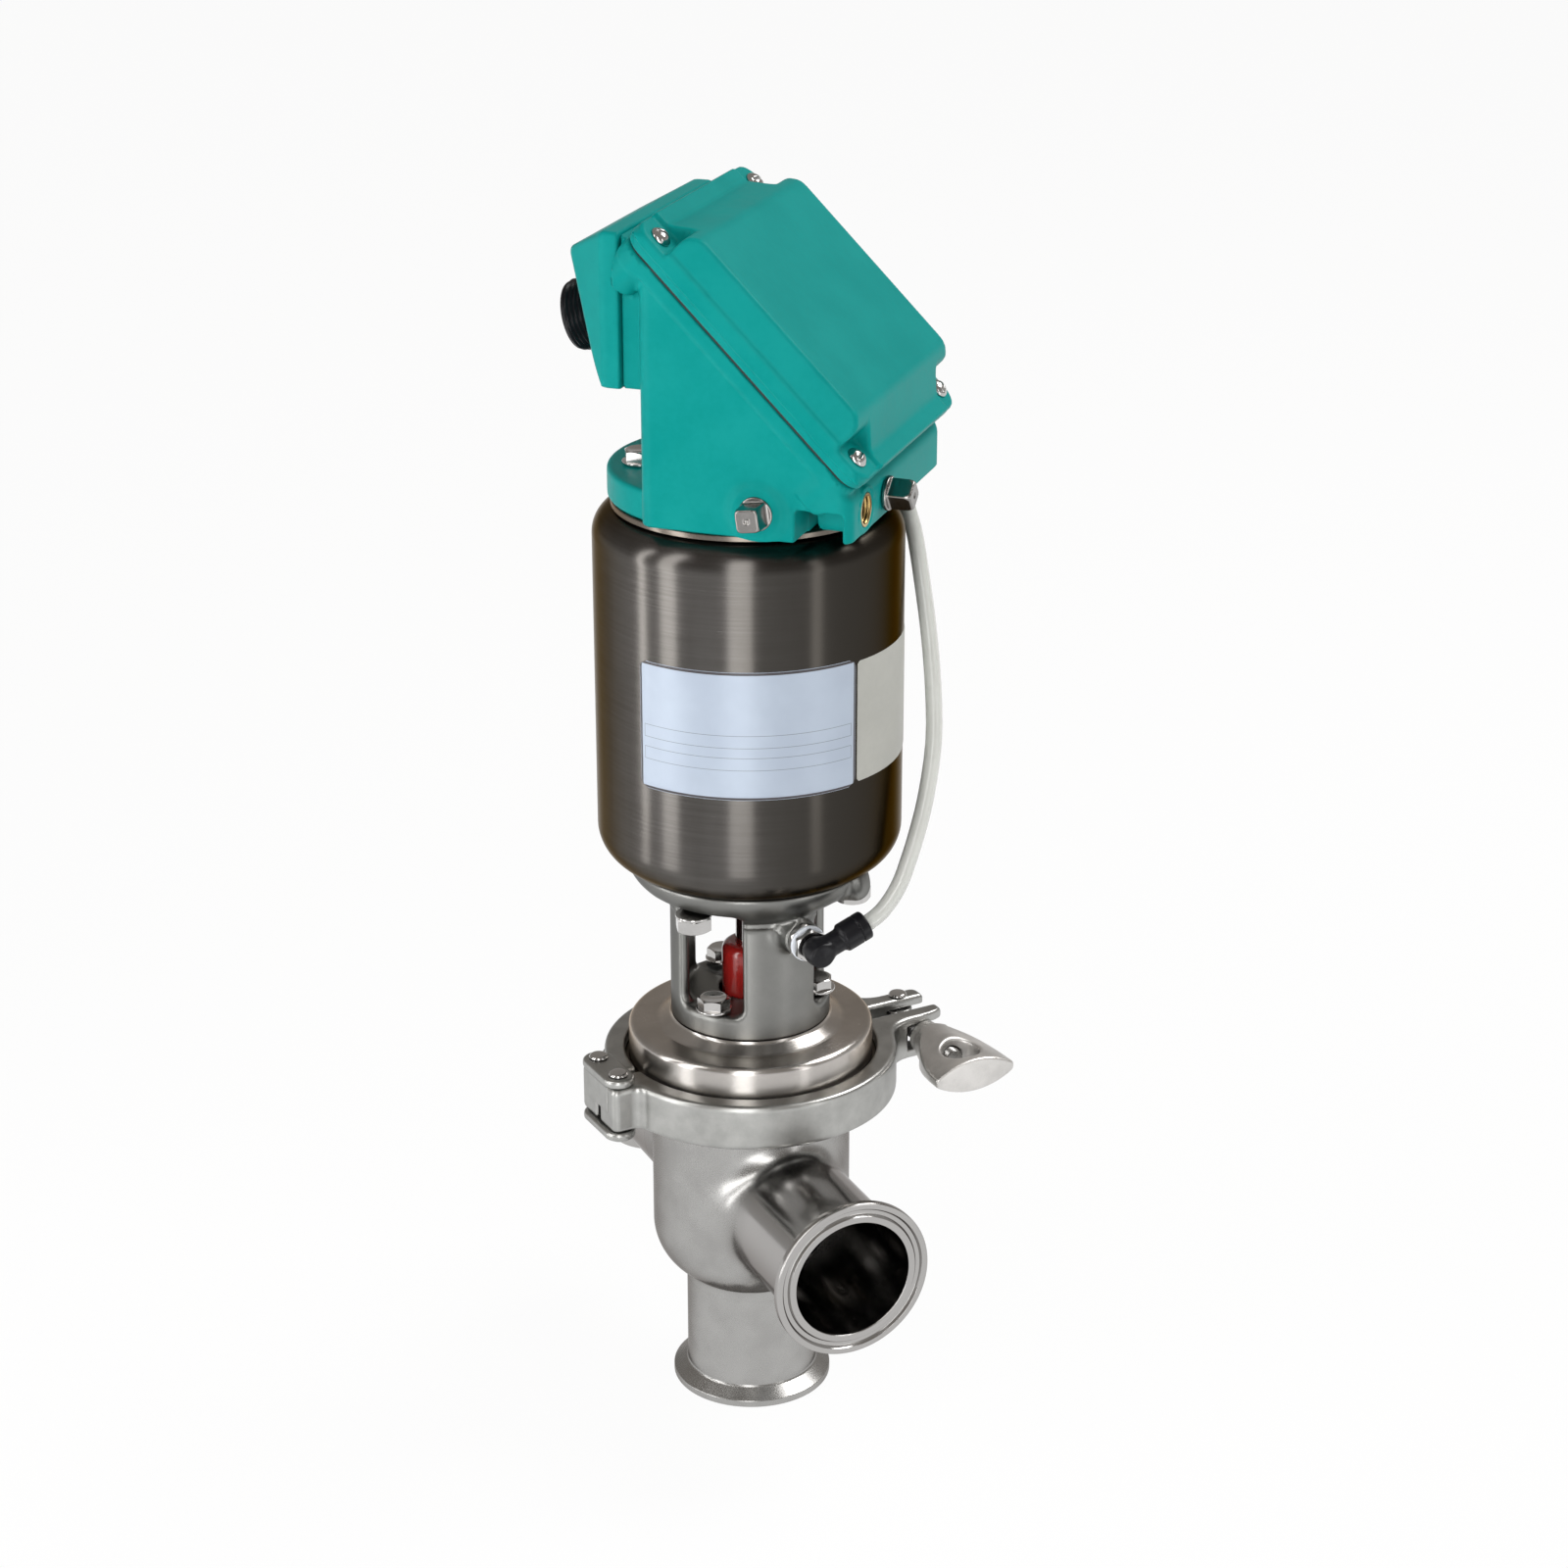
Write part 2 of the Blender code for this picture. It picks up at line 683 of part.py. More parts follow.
def make_clamp(base):
    clamp = frame("clamp_frame", base.location, clamp_turn)
    clamp.parent = base.parent
    pin_place = ear_gap / 2 + ear_thickness / 2
    nut_face = ear_gap / 2 + ear_thickness + gap
    for name, side in (("clamp_front_half", -1), ("clamp_rear_half", 1)):
        half = prism(name, clamp_outline(side), clamp_low, clamp_high, clamp)
        cut(half, clamp_space(clamp, name + " groove"))
        slot_start = bolt_place - eye_radius - slot_depth_behind_eye
        slot = block(name + " slot", (slot_start, min(0.0, side * nut_length),
                                      joint_height - slot_height / 2),
                     (ear_reach + 1.0 * mm, max(0.0, side * nut_length),
                      joint_height + slot_height / 2), clamp)
        cut(half, slot)
        hinge_y = side * hinge_pin_spread / 2
        cut(half, rod(name + " hinge hole", hinge_pin_radius + gap,
                      (-hinge_pin_place, hinge_y, clamp_low - gap),
                      (-hinge_pin_place, hinge_y, clamp_high + gap), clamp))
        if side > 0:
            cut(half, rod(name + " pin hole", bolt_pin_radius + gap,
                          (bolt_place, pin_place, clamp_low - gap),
                          (bolt_place, pin_place, clamp_high + gap), clamp))
        else:
            relief = rod(name + " nut relief", pin_place + nut_face - gap,
                         (bolt_place, pin_place, clamp_low - gap),
                         (bolt_place, pin_place, clamp_high + gap), clamp, steps=96)
            swept = block(name + " ear end", (bolt_place, -2 * nut_face, clamp_low),
                          (ear_reach + 1.0 * mm, -ear_gap, clamp_high), clamp)
            cut(guide(swept), relief)
            cut(half, swept)
        finish(half, "cast steel")
    for name, low in (("hinge_link_top", clamp_high + gap),
                      ("hinge_link_bottom", clamp_low - gap - link_thickness)):
        ends = []
        for sign in (1, -1):
            turn = 90 * sign
            ends += arc(-hinge_pin_place, sign * hinge_pin_spread / 2, link_width / 2, turn - 90,
                        turn + 90, 8)
        link = prism(name, ends, low, low + link_thickness, clamp)
        for sign in (1, -1):
            y = sign * hinge_pin_spread / 2
            cut(link, rod(f"{name} hole {sign}", hinge_pin_radius + gap,
                          (-hinge_pin_place, y, low - gap),
                          (-hinge_pin_place, y, low + link_thickness + gap), clamp))
        finish(link, "cast steel")
    link_low = clamp_low - gap - link_thickness
    link_high = clamp_high + gap + link_thickness
    for name, sign in (("hinge_pin_front", -1), ("hinge_pin_rear", 1)):
        make_rivet(name, -hinge_pin_place, sign * hinge_pin_spread / 2, link_low, link_high,
                   hinge_pin_radius, hinge_pin_head, clamp)
    make_rivet("swing_bolt_pin", bolt_place, pin_place, clamp_low, clamp_high,
               bolt_pin_radius, hinge_pin_head, clamp)
    make_swing_bolt(clamp, pin_place)
    make_wing_nut(clamp, nut_face)


def make_rivet(name, x, y, low, high, radius, head, parent):
    top = high + gap
    under = low - gap
    profile = [
        (0.0, under - hinge_head_height), (head - 1.0 * mm, under - hinge_head_height), (head, under),
        (radius, under), (radius, top), (head, top), (head - 1.0 * mm, top + hinge_head_height),
        (0.0, top + hinge_head_height),
    ]
    pin = turned(name, profile, parent, steps=round_small)
    pin.location = (x, y, 0.0)
    finish(pin, "bright steel")


def make_swing_bolt(clamp, pin_place):
    """Eye bolt, with its origin on the pin that it swings about."""
    eye_profile = [
        (bolt_pin_radius + gap, -eye_height / 2), (eye_radius, -eye_height / 2),
        (eye_radius, eye_height / 2), (bolt_pin_radius + gap, eye_height / 2),
    ]
    bolt = turned("swing_bolt", eye_profile, clamp, steps=round_mid)
    bolt.location = (bolt_place, pin_place, joint_height)
    shank_start = bolt_pin_radius + 2 * gap
    shank = rod("swing bolt shank", bolt_radius, (0.0, -shank_start - 1.0 * mm, 0.0),
                (0.0, -pin_place - bolt_end, 0.0), clamp, steps=round_mid)
    shank.location = bolt.location
    join(bolt, shank)
    finish(bolt, "steel")


def make_wing_nut(clamp, nut_face):
    """Leaf-shaped wing crossed by a round hole: its plan and its lens section are intersected."""
    half = nut_half_span
    start = nut_boss_length
    plan = [(-nut_boss_radius * 0.9, -start + 2.0 * mm)]
    for i in range(9):
        share = i / 8
        width = nut_boss_radius * 0.9 + (half - nut_boss_radius * 0.9) * sin(share * pi / 2)
        plan.append((-width, -start - (nut_length - start) * share ** 1.25))
    plan += [(-x, y) for x, y in reversed(plan)]
    rise = nut_half_thickness - nut_tip_half_thickness
    sphere = (half ** 2 + rise ** 2) / (2 * rise)
    lens = []
    for sign in (1, -1):
        for i in range(11):
            x = sign * half * (1 - i / 5) * 1.02
            arch = sqrt(sphere ** 2 - min(abs(x), half) ** 2)
            lens.append((x, sign * (nut_half_thickness - sphere + arch)))
    nut = prism("wing_nut", plan, -nut_half_thickness, nut_half_thickness, clamp)
    nut.location = (bolt_place, -nut_face, joint_height)
    section = prism("wing nut section", lens, -nut_length - 1.0 * mm, 0.0, clamp, axis="y")
    section.location = nut.location
    combine(nut, section, "INTERSECT")
    boss = rod("wing nut boss", nut_boss_radius, (0.0, 0.0, 0.0), (0.0, -nut_hole_place, 0.0), clamp,
               steps=round_mid)
    boss.location = nut.location
    join(nut, boss)
    hole = rod("wing nut hole", nut_hole_radius, (0.0, -nut_hole_place, -2 * nut_half_thickness),
               (0.0, -nut_hole_place, 2 * nut_half_thickness), clamp, steps=round_mid)
    hole.location = nut.location
    cut(nut, hole)
    bore = rod("wing nut bore", bolt_radius + gap, (0.0, gap, 0.0), (0.0, -nut_hole_place, 0.0), clamp,
               steps=round_mid)
    bore.location = nut.location
    cut(nut, bore)
    finish(nut, "cast steel")


def make_yoke(base):
    """A lantern turned in one piece, with three windows cut through its wall."""
    inner = yoke_radius - yoke_wall
    floor_bore = bonnet_pilot_radius + gap
    flare_start = yoke_ceiling - yoke_flare
    profile = [(floor_bore, bonnet_top + gap), (yoke_radius, bonnet_top + gap), (yoke_radius, flare_start)]
    flare_run = cap_radius_low - yoke_radius
    for i in range(1, 7):
        share = i / 6 * pi / 2
        profile.append((yoke_radius + flare_run * (1 - cos(share)), flare_start + yoke_flare * sin(share)))
    profile += [
        (cap_radius_high, cap_top - 1.2 * mm),
        (cap_radius_high - 1.0 * mm, cap_top),
        (yoke_rod_bore, cap_top),
        (yoke_rod_bore, yoke_ceiling),
        (inner, yoke_ceiling),
        (inner, yoke_floor),
        (floor_bore, yoke_floor),
    ]
    yoke = turned("yoke", profile, base, steps=44)
    for angle in yoke_window_angles:
        middle = radians(angle)
        half = radians(yoke_window_half)
        inside = inner - 3.0 * mm
        outside = cap_radius_high + 4.0 * mm
        outline = [(r * cos(middle + a), r * sin(middle + a))
                   for r, a in ((inside, -half), (outside, -half), (outside, half), (inside, half))]
        window = prism(f"yoke window {angle}", outline, yoke_floor - 0.4 * mm, yoke_ceiling - 0.4 * mm, base)
        bevel(window, 2.0 * mm, segments=2)
        cut(yoke, window)
        x, y = around(yoke_bolt_circle, angle)
        cut(yoke, rod(f"yoke foot hole {angle}", yoke_bolt_radius + gap,
                      (x, y, bonnet_top), (x, y, yoke_floor + gap), base))
        x, y = around(cap_bolt_circle, angle)
        cut(yoke, rod(f"yoke cap hole {angle}", cap_bolt_radius + gap,
                      (x, y, yoke_ceiling - 2.0 * mm), (x, y, cap_top + gap), base))
    boss = rod("air boss", air_boss_radius, (fitting_offset, -yoke_radius + yoke_wall / 2, fitting_height),
               (fitting_offset, -air_boss_reach, fitting_height), base, steps=16)
    join(yoke, boss)
    cut(yoke, rod("air boss thread", air_thread_radius + gap,
                  (fitting_offset, -air_boss_reach + air_thread_depth + gap, fitting_height),
                  (fitting_offset, -air_boss_reach - gap, fitting_height), base))
    lug_x, lug_y = around(1.0, cap_lug_angle)
    lug_inner = cap_radius_low - 4.0 * mm
    join(yoke, rod("cap lug", cap_lug_radius, (lug_x * lug_inner, lug_y * lug_inner, cap_lug_height),
                   (lug_x * cap_lug_reach, lug_y * cap_lug_reach, cap_lug_height), base))
    finish(yoke, "cast steel")
    for number, angle in enumerate(yoke_window_angles, 1):
        x, y = around(yoke_bolt_circle, angle)
        make_bolt(f"yoke_bolt_{number}", x, y, yoke_floor + gap, 1, yoke_bolt_flats, yoke_bolt_head,
                  yoke_bolt_radius, yoke_floor + gap - bonnet_top + yoke_bolt_depth, base)
        x, y = around(cap_bolt_circle, angle)
        make_bolt(f"cap_bolt_{number}", x, y, yoke_ceiling - gap - 0.4 * mm, -1, cap_bolt_flats,
                  cap_bolt_head, cap_bolt_radius, base_plate_bottom + cap_bolt_depth - yoke_ceiling, base)


def make_bolt(name, x, y, seat, up, flats, head, radius, depth, parent):
    """Hex bolt with a washer face: its head stands off the seat in the direction up (1 or -1)."""
    bolt = rod(name, hex_radius(flats), (x, y, seat + up * washer_thickness),
               (x, y, seat + up * (washer_thickness + head)), parent, steps=6)
    bevel(bolt, 0.5 * mm, segments=1, angle=75)
    join(bolt, rod(name + " washer", washer_radius, (x, y, seat),
                   (x, y, seat + up * (washer_thickness + 0.2 * mm)), parent, steps=16))
    join(bolt, rod(name + " shank", radius, (x, y, seat - up * depth),
                   (x, y, seat + up * washer_thickness), parent))
    finish(bolt, "bright steel")


def make_cylinder(base):
    """Deep-drawn shell with rounded bottom and shoulder, open at both ends."""
    seat = cap_top + gap
    low_centre = cylinder_radius - cylinder_bottom_round
    high_centre = cylinder_radius - cylinder_top_round
    shoulder = cylinder_top - cylinder_top_round
    outer = [(cylinder_floor_hole, seat)]
    outer += arc(low_centre, seat + cylinder_bottom_round, cylinder_bottom_round, -90, 0, 6)
    outer += arc(high_centre, shoulder, cylinder_top_round, 0, 90, 5)
    inner = [(cylinder_mouth - 2 * gap, cylinder_top),
             (cylinder_mouth - 2 * gap, cylinder_top - cylinder_wall)]
    inner += arc(high_centre, shoulder, cylinder_top_round - cylinder_wall, 90, 0, 4)
    inner += arc(low_centre, seat + cylinder_bottom_round, cylinder_bottom_round - cylinder_wall, 0, -90, 5)
    inner += [(cylinder_floor_hole, seat + cylinder_wall)]
    shell = turned("cylinder", outer + inner, base)
    for angle in yoke_window_angles:
        x, y = around(cap_bolt_circle, angle)
        cut(shell, rod(f"shell hole {angle}", cap_bolt_radius + gap, (x, y, seat - gap),
                       (x, y, seat + cylinder_wall + gap), base))
    finish(shell, "brushed steel")
    plate = [
        (stem_radius + gap, base_plate_bottom), (base_plate_radius, base_plate_bottom),
        (base_plate_radius, base_plate_top), (stop_ring_radius, base_plate_top),
        (stop_ring_radius, stop_top), (stem_radius + gap, stop_top),
    ]
    base_plate = turned("cylinder_base", plate, base)
    for angle in yoke_window_angles:
        x, y = around(cap_bolt_circle, angle)
        cut(base_plate, rod(f"base hole {angle}", cap_bolt_radius + gap, (x, y, base_plate_bottom - gap),
                            (x, y, base_plate_bottom + cap_bolt_depth + gap), base))
    finish(base_plate, "steel")
    ring_low = cylinder_top + gap
    ring = [
        (stem_radius + gap, top_spigot_bottom), (cylinder_mouth - 4 * gap, top_spigot_bottom),
        (cylinder_mouth - 4 * gap, ring_low), (top_ring_radius, ring_low),
        (top_ring_radius, ring_low + top_ring_thickness - gap),
        (stem_radius + gap, ring_low + top_ring_thickness - gap),
    ]
    finish(turned("top_plate", ring, base), "bright steel")


def make_stem_train(base):
    """Everything that lifts together, from the plug on its seat to the target in the head."""
    train = frame("stem_frame", base.location)
    train.parent = base.parent
    lean = sqrt(2.0)
    seal_low = seat_height + gap * lean
    seal_high = seal_low + plug_seal_thickness * lean
    face = seal_high + gap * lean
    nose_low = seat_height - plug_nose_depth
    seal_inner = plug_nose_radius + 2 * gap
    seal_outer = port_bore + seat_width - 2 * gap
    plug = [
        (0.0, nose_low), (plug_nose_radius - 3.0 * mm, nose_low), (plug_nose_radius, nose_low + 3.0 * mm),
        (plug_nose_radius, face + plug_nose_radius - port_bore),
        (plug_disc_radius - 0.5 * mm, face + plug_disc_radius - 0.5 * mm - port_bore),
        (plug_disc_radius, face + plug_disc_radius - port_bore + 1.0 * mm),
    ]
    back = face + plug_disc_radius - port_bore + 3.0 * mm
    plug += [(plug_disc_radius, back)]
    for i in range(1, 5):
        share = i / 4
        plug.append((plug_disc_radius - (plug_disc_radius - plug_hub_radius) * share,
                     back + (plug_hub_top - back) * 0.55 * share ** 2))
    bore_low = plug_hub_top - 12.0 * mm
    plug += [
        (plug_hub_radius, plug_hub_top), (stem_radius + gap, plug_hub_top), (stem_radius + gap, bore_low),
        (0.0, bore_low),
    ]
    finish(turned("plug", plug, train), "steel")
    seal = [
        (seal_inner, seal_low + seal_inner - port_bore), (seal_outer, seal_low + seal_outer - port_bore),
        (seal_outer, seal_high + seal_outer - port_bore), (seal_inner, seal_high + seal_inner - port_bore),
    ]
    finish(turned("plug_seal", seal, train), "white seal")
    middle = (coupling_bottom + coupling_top) / 2
    finish(rod("valve_stem", stem_radius, (0, 0, bore_low + gap), (0, 0, middle - gap), train, steps=16),
           "steel")
    edge = coupling_radius - coupling_round
    grip = stem_radius + gap
    sleeve = [(grip, coupling_bottom)]
    sleeve += arc(edge, coupling_bottom + coupling_round, coupling_round, -90, 0, 3)
    sleeve += arc(edge, coupling_top - coupling_round, coupling_round, 0, 90, 3)
    sleeve += [(grip, coupling_top)]
    finish(turned("stem_coupling", sleeve, train, steps=round_mid), "red enamel")
    finish(rod("actuator_rod", stem_radius, (0, 0, middle + gap), (0, 0, rod_top), train, steps=16),
           "bright steel")
    groove_low = piston_bottom + (piston_thickness - piston_seal_height) / 2
    groove_high = groove_low + piston_seal_height
    wall = bore_radius - 2 * gap
    groove = wall - piston_seal_width
    hub = piston_top + piston_hub_height
    piston = [
        (grip, piston_bottom), (wall, piston_bottom), (wall, groove_low), (groove, groove_low),
        (groove, groove_high), (wall, groove_high), (wall, piston_top), (piston_hub_radius, piston_top),
        (piston_hub_radius, hub), (grip, hub),
    ]
    finish(turned("piston", piston, train), "steel")
    ring = [
        (groove + gap, groove_low + gap), (bore_radius - gap, groove_low + gap),
        (bore_radius - gap, groove_high - gap), (groove + gap, groove_high - gap),
    ]
    finish(turned("piston_seal", ring, train), "black rubber")
    nut = rod("rod_nut", hex_radius(rod_nut_flats), (0, 0, hub + gap), (0, 0, hub + gap + rod_nut_height),
              train, steps=6)
    cut(nut, rod("rod nut bore", grip, (0, 0, hub), (0, 0, hub + 2 * gap + rod_nut_height), train, steps=16))
    finish(nut, "bright steel")
    target = [
        (0.0, rod_top + gap), (target_radius, rod_top + gap),
        (target_radius, rod_top + gap + target_height), (0.0, rod_top + gap + target_height),
    ]
    finish(turned("switch_target", target, train, steps=round_mid), "black plastic")


def make_spring(base):
    """Round wire swept along a helix; its end turns lie closer than the others."""
    low = piston_top + gap + spring_wire
    high = top_spigot_bottom - gap - spring_wire
    around_steps = 14
    sides = 6
    total = int(spring_turns * around_steps)
    bm = bmesh.new()
    rings = []
    for i in range(total + 1):
        share = i / total
        eased = share - sin(2 * pi * share) / (2 * pi) * 0.55
        angle = 2 * pi * spring_turns * share
        centre = Vector((spring_radius * cos(angle), spring_radius * sin(angle), low + (high - low) * eased))
        outward = Vector((cos(angle), sin(angle), 0.0))
        rings.append([bm.verts.new(centre + spring_wire * (outward * cos(2 * pi * k / sides)
                                                            + Vector((0, 0, 1)) * sin(2 * pi * k / sides)))
                      for k in range(sides)])
    for first, second in zip(rings, rings[1:]):
        for k in range(sides):
            n = (k + 1) % sides
            bm.faces.new((first[k], first[n], second[n], second[k]))
    bm.faces.new(rings[0])
    bm.faces.new(rings[-1])
    finish(add("spring", bm, base), "spring steel")


def make_air_line(base, head):
    x, z = fitting_offset, fitting_height
    y = -air_boss_reach - gap
    fitting = rod("air_fitting", hex_radius(air_hex_flats), (x, y, z), (x, y - air_hex_length, z), base,
                  steps=6)
    neck_end = y - air_hex_length - seal_ring_width - 2 * gap
    second_end = neck_end - air_hex_length
    join(fitting, rod("air fitting thread", air_thread_radius, (x, y + air_thread_depth, z),
                      (x, y - 1.0 * mm, z), base))
    join(fitting, rod("air fitting neck", air_neck_radius, (x, y - 1.0 * mm, z),
                      (x, neck_end - 1.0 * mm, z), base))
    join(fitting, rod("air fitting nut", hex_radius(air_hex_flats) * 0.96, (x, neck_end, z),
                      (x, second_end, z), base, steps=6))
    finish(fitting, "bright steel")
    ring_start = y - air_hex_length - gap
    ring = rod("fitting_seal_ring", seal_ring_radius, (x, ring_start, z),
               (x, ring_start - seal_ring_width, z), base, steps=16)
    cut(ring, rod("seal ring bore", air_neck_radius + gap, (x, ring_start + gap, z),
                  (x, ring_start - seal_ring_width - gap, z), base))
    finish(ring, "white seal")
    start = second_end - gap
    centre = Vector((x, start - elbow_body_length / 2, z))
    way = Vector((cos(elbow_tilt), 0.0, sin(elbow_tilt)))
    elbow = rod("air_elbow", elbow_radius, (x, start, z), (x, start - elbow_body_length, z), base, steps=16)
    bevel(elbow, 1.2 * mm, segments=2)
    join(elbow, rod("elbow arm", elbow_radius * 0.93, centre, centre + way * (elbow_arm_length - 2.0 * mm),
                    base, steps=16))
    collar_start = centre + way * (elbow_arm_length - elbow_collar_length)
    collar = rod("elbow collar", elbow_collar_radius, collar_start, centre + way * elbow_arm_length, base,
                 steps=16)
    bevel(collar, 0.8 * mm, segments=2)
    join(elbow, collar)
    finish(elbow, "black plastic")
    u, v = head_fitting_u, head_fitting_v
    top = head_base + notch_rise - gap
    bottom = top - head_fitting_length
    end = rod("head_air_fitting", head_fitting_radius, (u, v, top - 5.0 * mm), (u, v, bottom), head, steps=16)
    bevel(end, 0.8 * mm, segments=2)
    join(end, rod("head fitting nut", hex_radius(air_hex_flats), (u, v, top - 5.4 * mm), (u, v, top), head,
                  steps=6))
    finish(end, "black plastic")
    turn = Matrix.Rotation(head_turn, 3, "Z")
    last = turn @ Vector((u, v, bottom - gap))
    first = centre + way * (elbow_arm_length + gap)
    make_hose(base, first, way, last)


def make_hose(base, first, way, last):
    """Round the right side of the cylinder, a few millimetres off its wall."""
    route = [
        first,
        first + way * 4.0 * mm,
        Vector((36.5, -51.6, 221.0)) * mm,
        Vector((41.6, -51.2, 234.0)) * mm,
        Vector((47.5, -48.6, 247.0)) * mm,
        Vector((53.6, -44.4, 260.0)) * mm,
        Vector((60.0, -37.4, 280.0)) * mm,
        Vector((63.0, -30.4, 300.0)) * mm,
        Vector((64.2, -23.4, 321.0)) * mm,
        Vector((65.0, -14.5, 342.0)) * mm,
        Vector((65.4, -7.5, 356.0)) * mm,
        last - Vector((0.0, 0.0, 5.0)) * mm,
        last,
    ]
    curve = bpy.data.curves.new("air_hose", "CURVE")
    curve.dimensions = "3D"
    points = smooth_route(route, 2)
    spline = curve.splines.new("POLY")
    spline.points.add(len(points) - 1)
    for point, place in zip(spline.points, points):
        point.co = (*place, 1.0)
    curve.bevel_depth = hose_radius
    curve.bevel_resolution = 2
    curve.use_fill_caps = True
    hose = bpy.data.objects.new("air_hose", curve)
    bpy.context.scene.collection.objects.link(hose)
    hose.parent = base
    finish(hose, "milky tube", smooth=False)


def smooth_route(route, pieces):
    """Catmull-Rom curve through the route's own points, with its first and last stretch straight."""
    points = [route[0]]
    for a, b, c, d in zip(route, route[1:], route[2:], route[3:]):
        for i in range(pieces):
            t = i / pieces
            points.append(0.5 * (2 * b + (c - a) * t + (2 * a - 5 * b + 4 * c - d) * t ** 2
                                 + (3 * b - a - 3 * c + d) * t ** 3))
    return points + route[-2:]


def make_head(base):
    head = frame("head_frame", base.location, head_turn)
    head.parent = base.parent
    lid = frame("lid_frame", (0.0, 0.0, 0.0))
    lid.parent = head
    lid.location = (slope_middle_u, 0.0, slope_middle_z)
    lid.rotation_euler = (0.0, slope, 0.0)
    make_housing(head, lid)
    make_cover(lid)
    make_plugs(head)
    make_terminal_box(head)
    make_head_inside(head)
    return head


def on_slope(along, up):
    """Head coordinates (u, z) of a point on the cover's plane."""
    return (slope_middle_u + along * cos(slope) + up * sin(slope),
            slope_middle_z - along * sin(slope) + up * cos(slope))


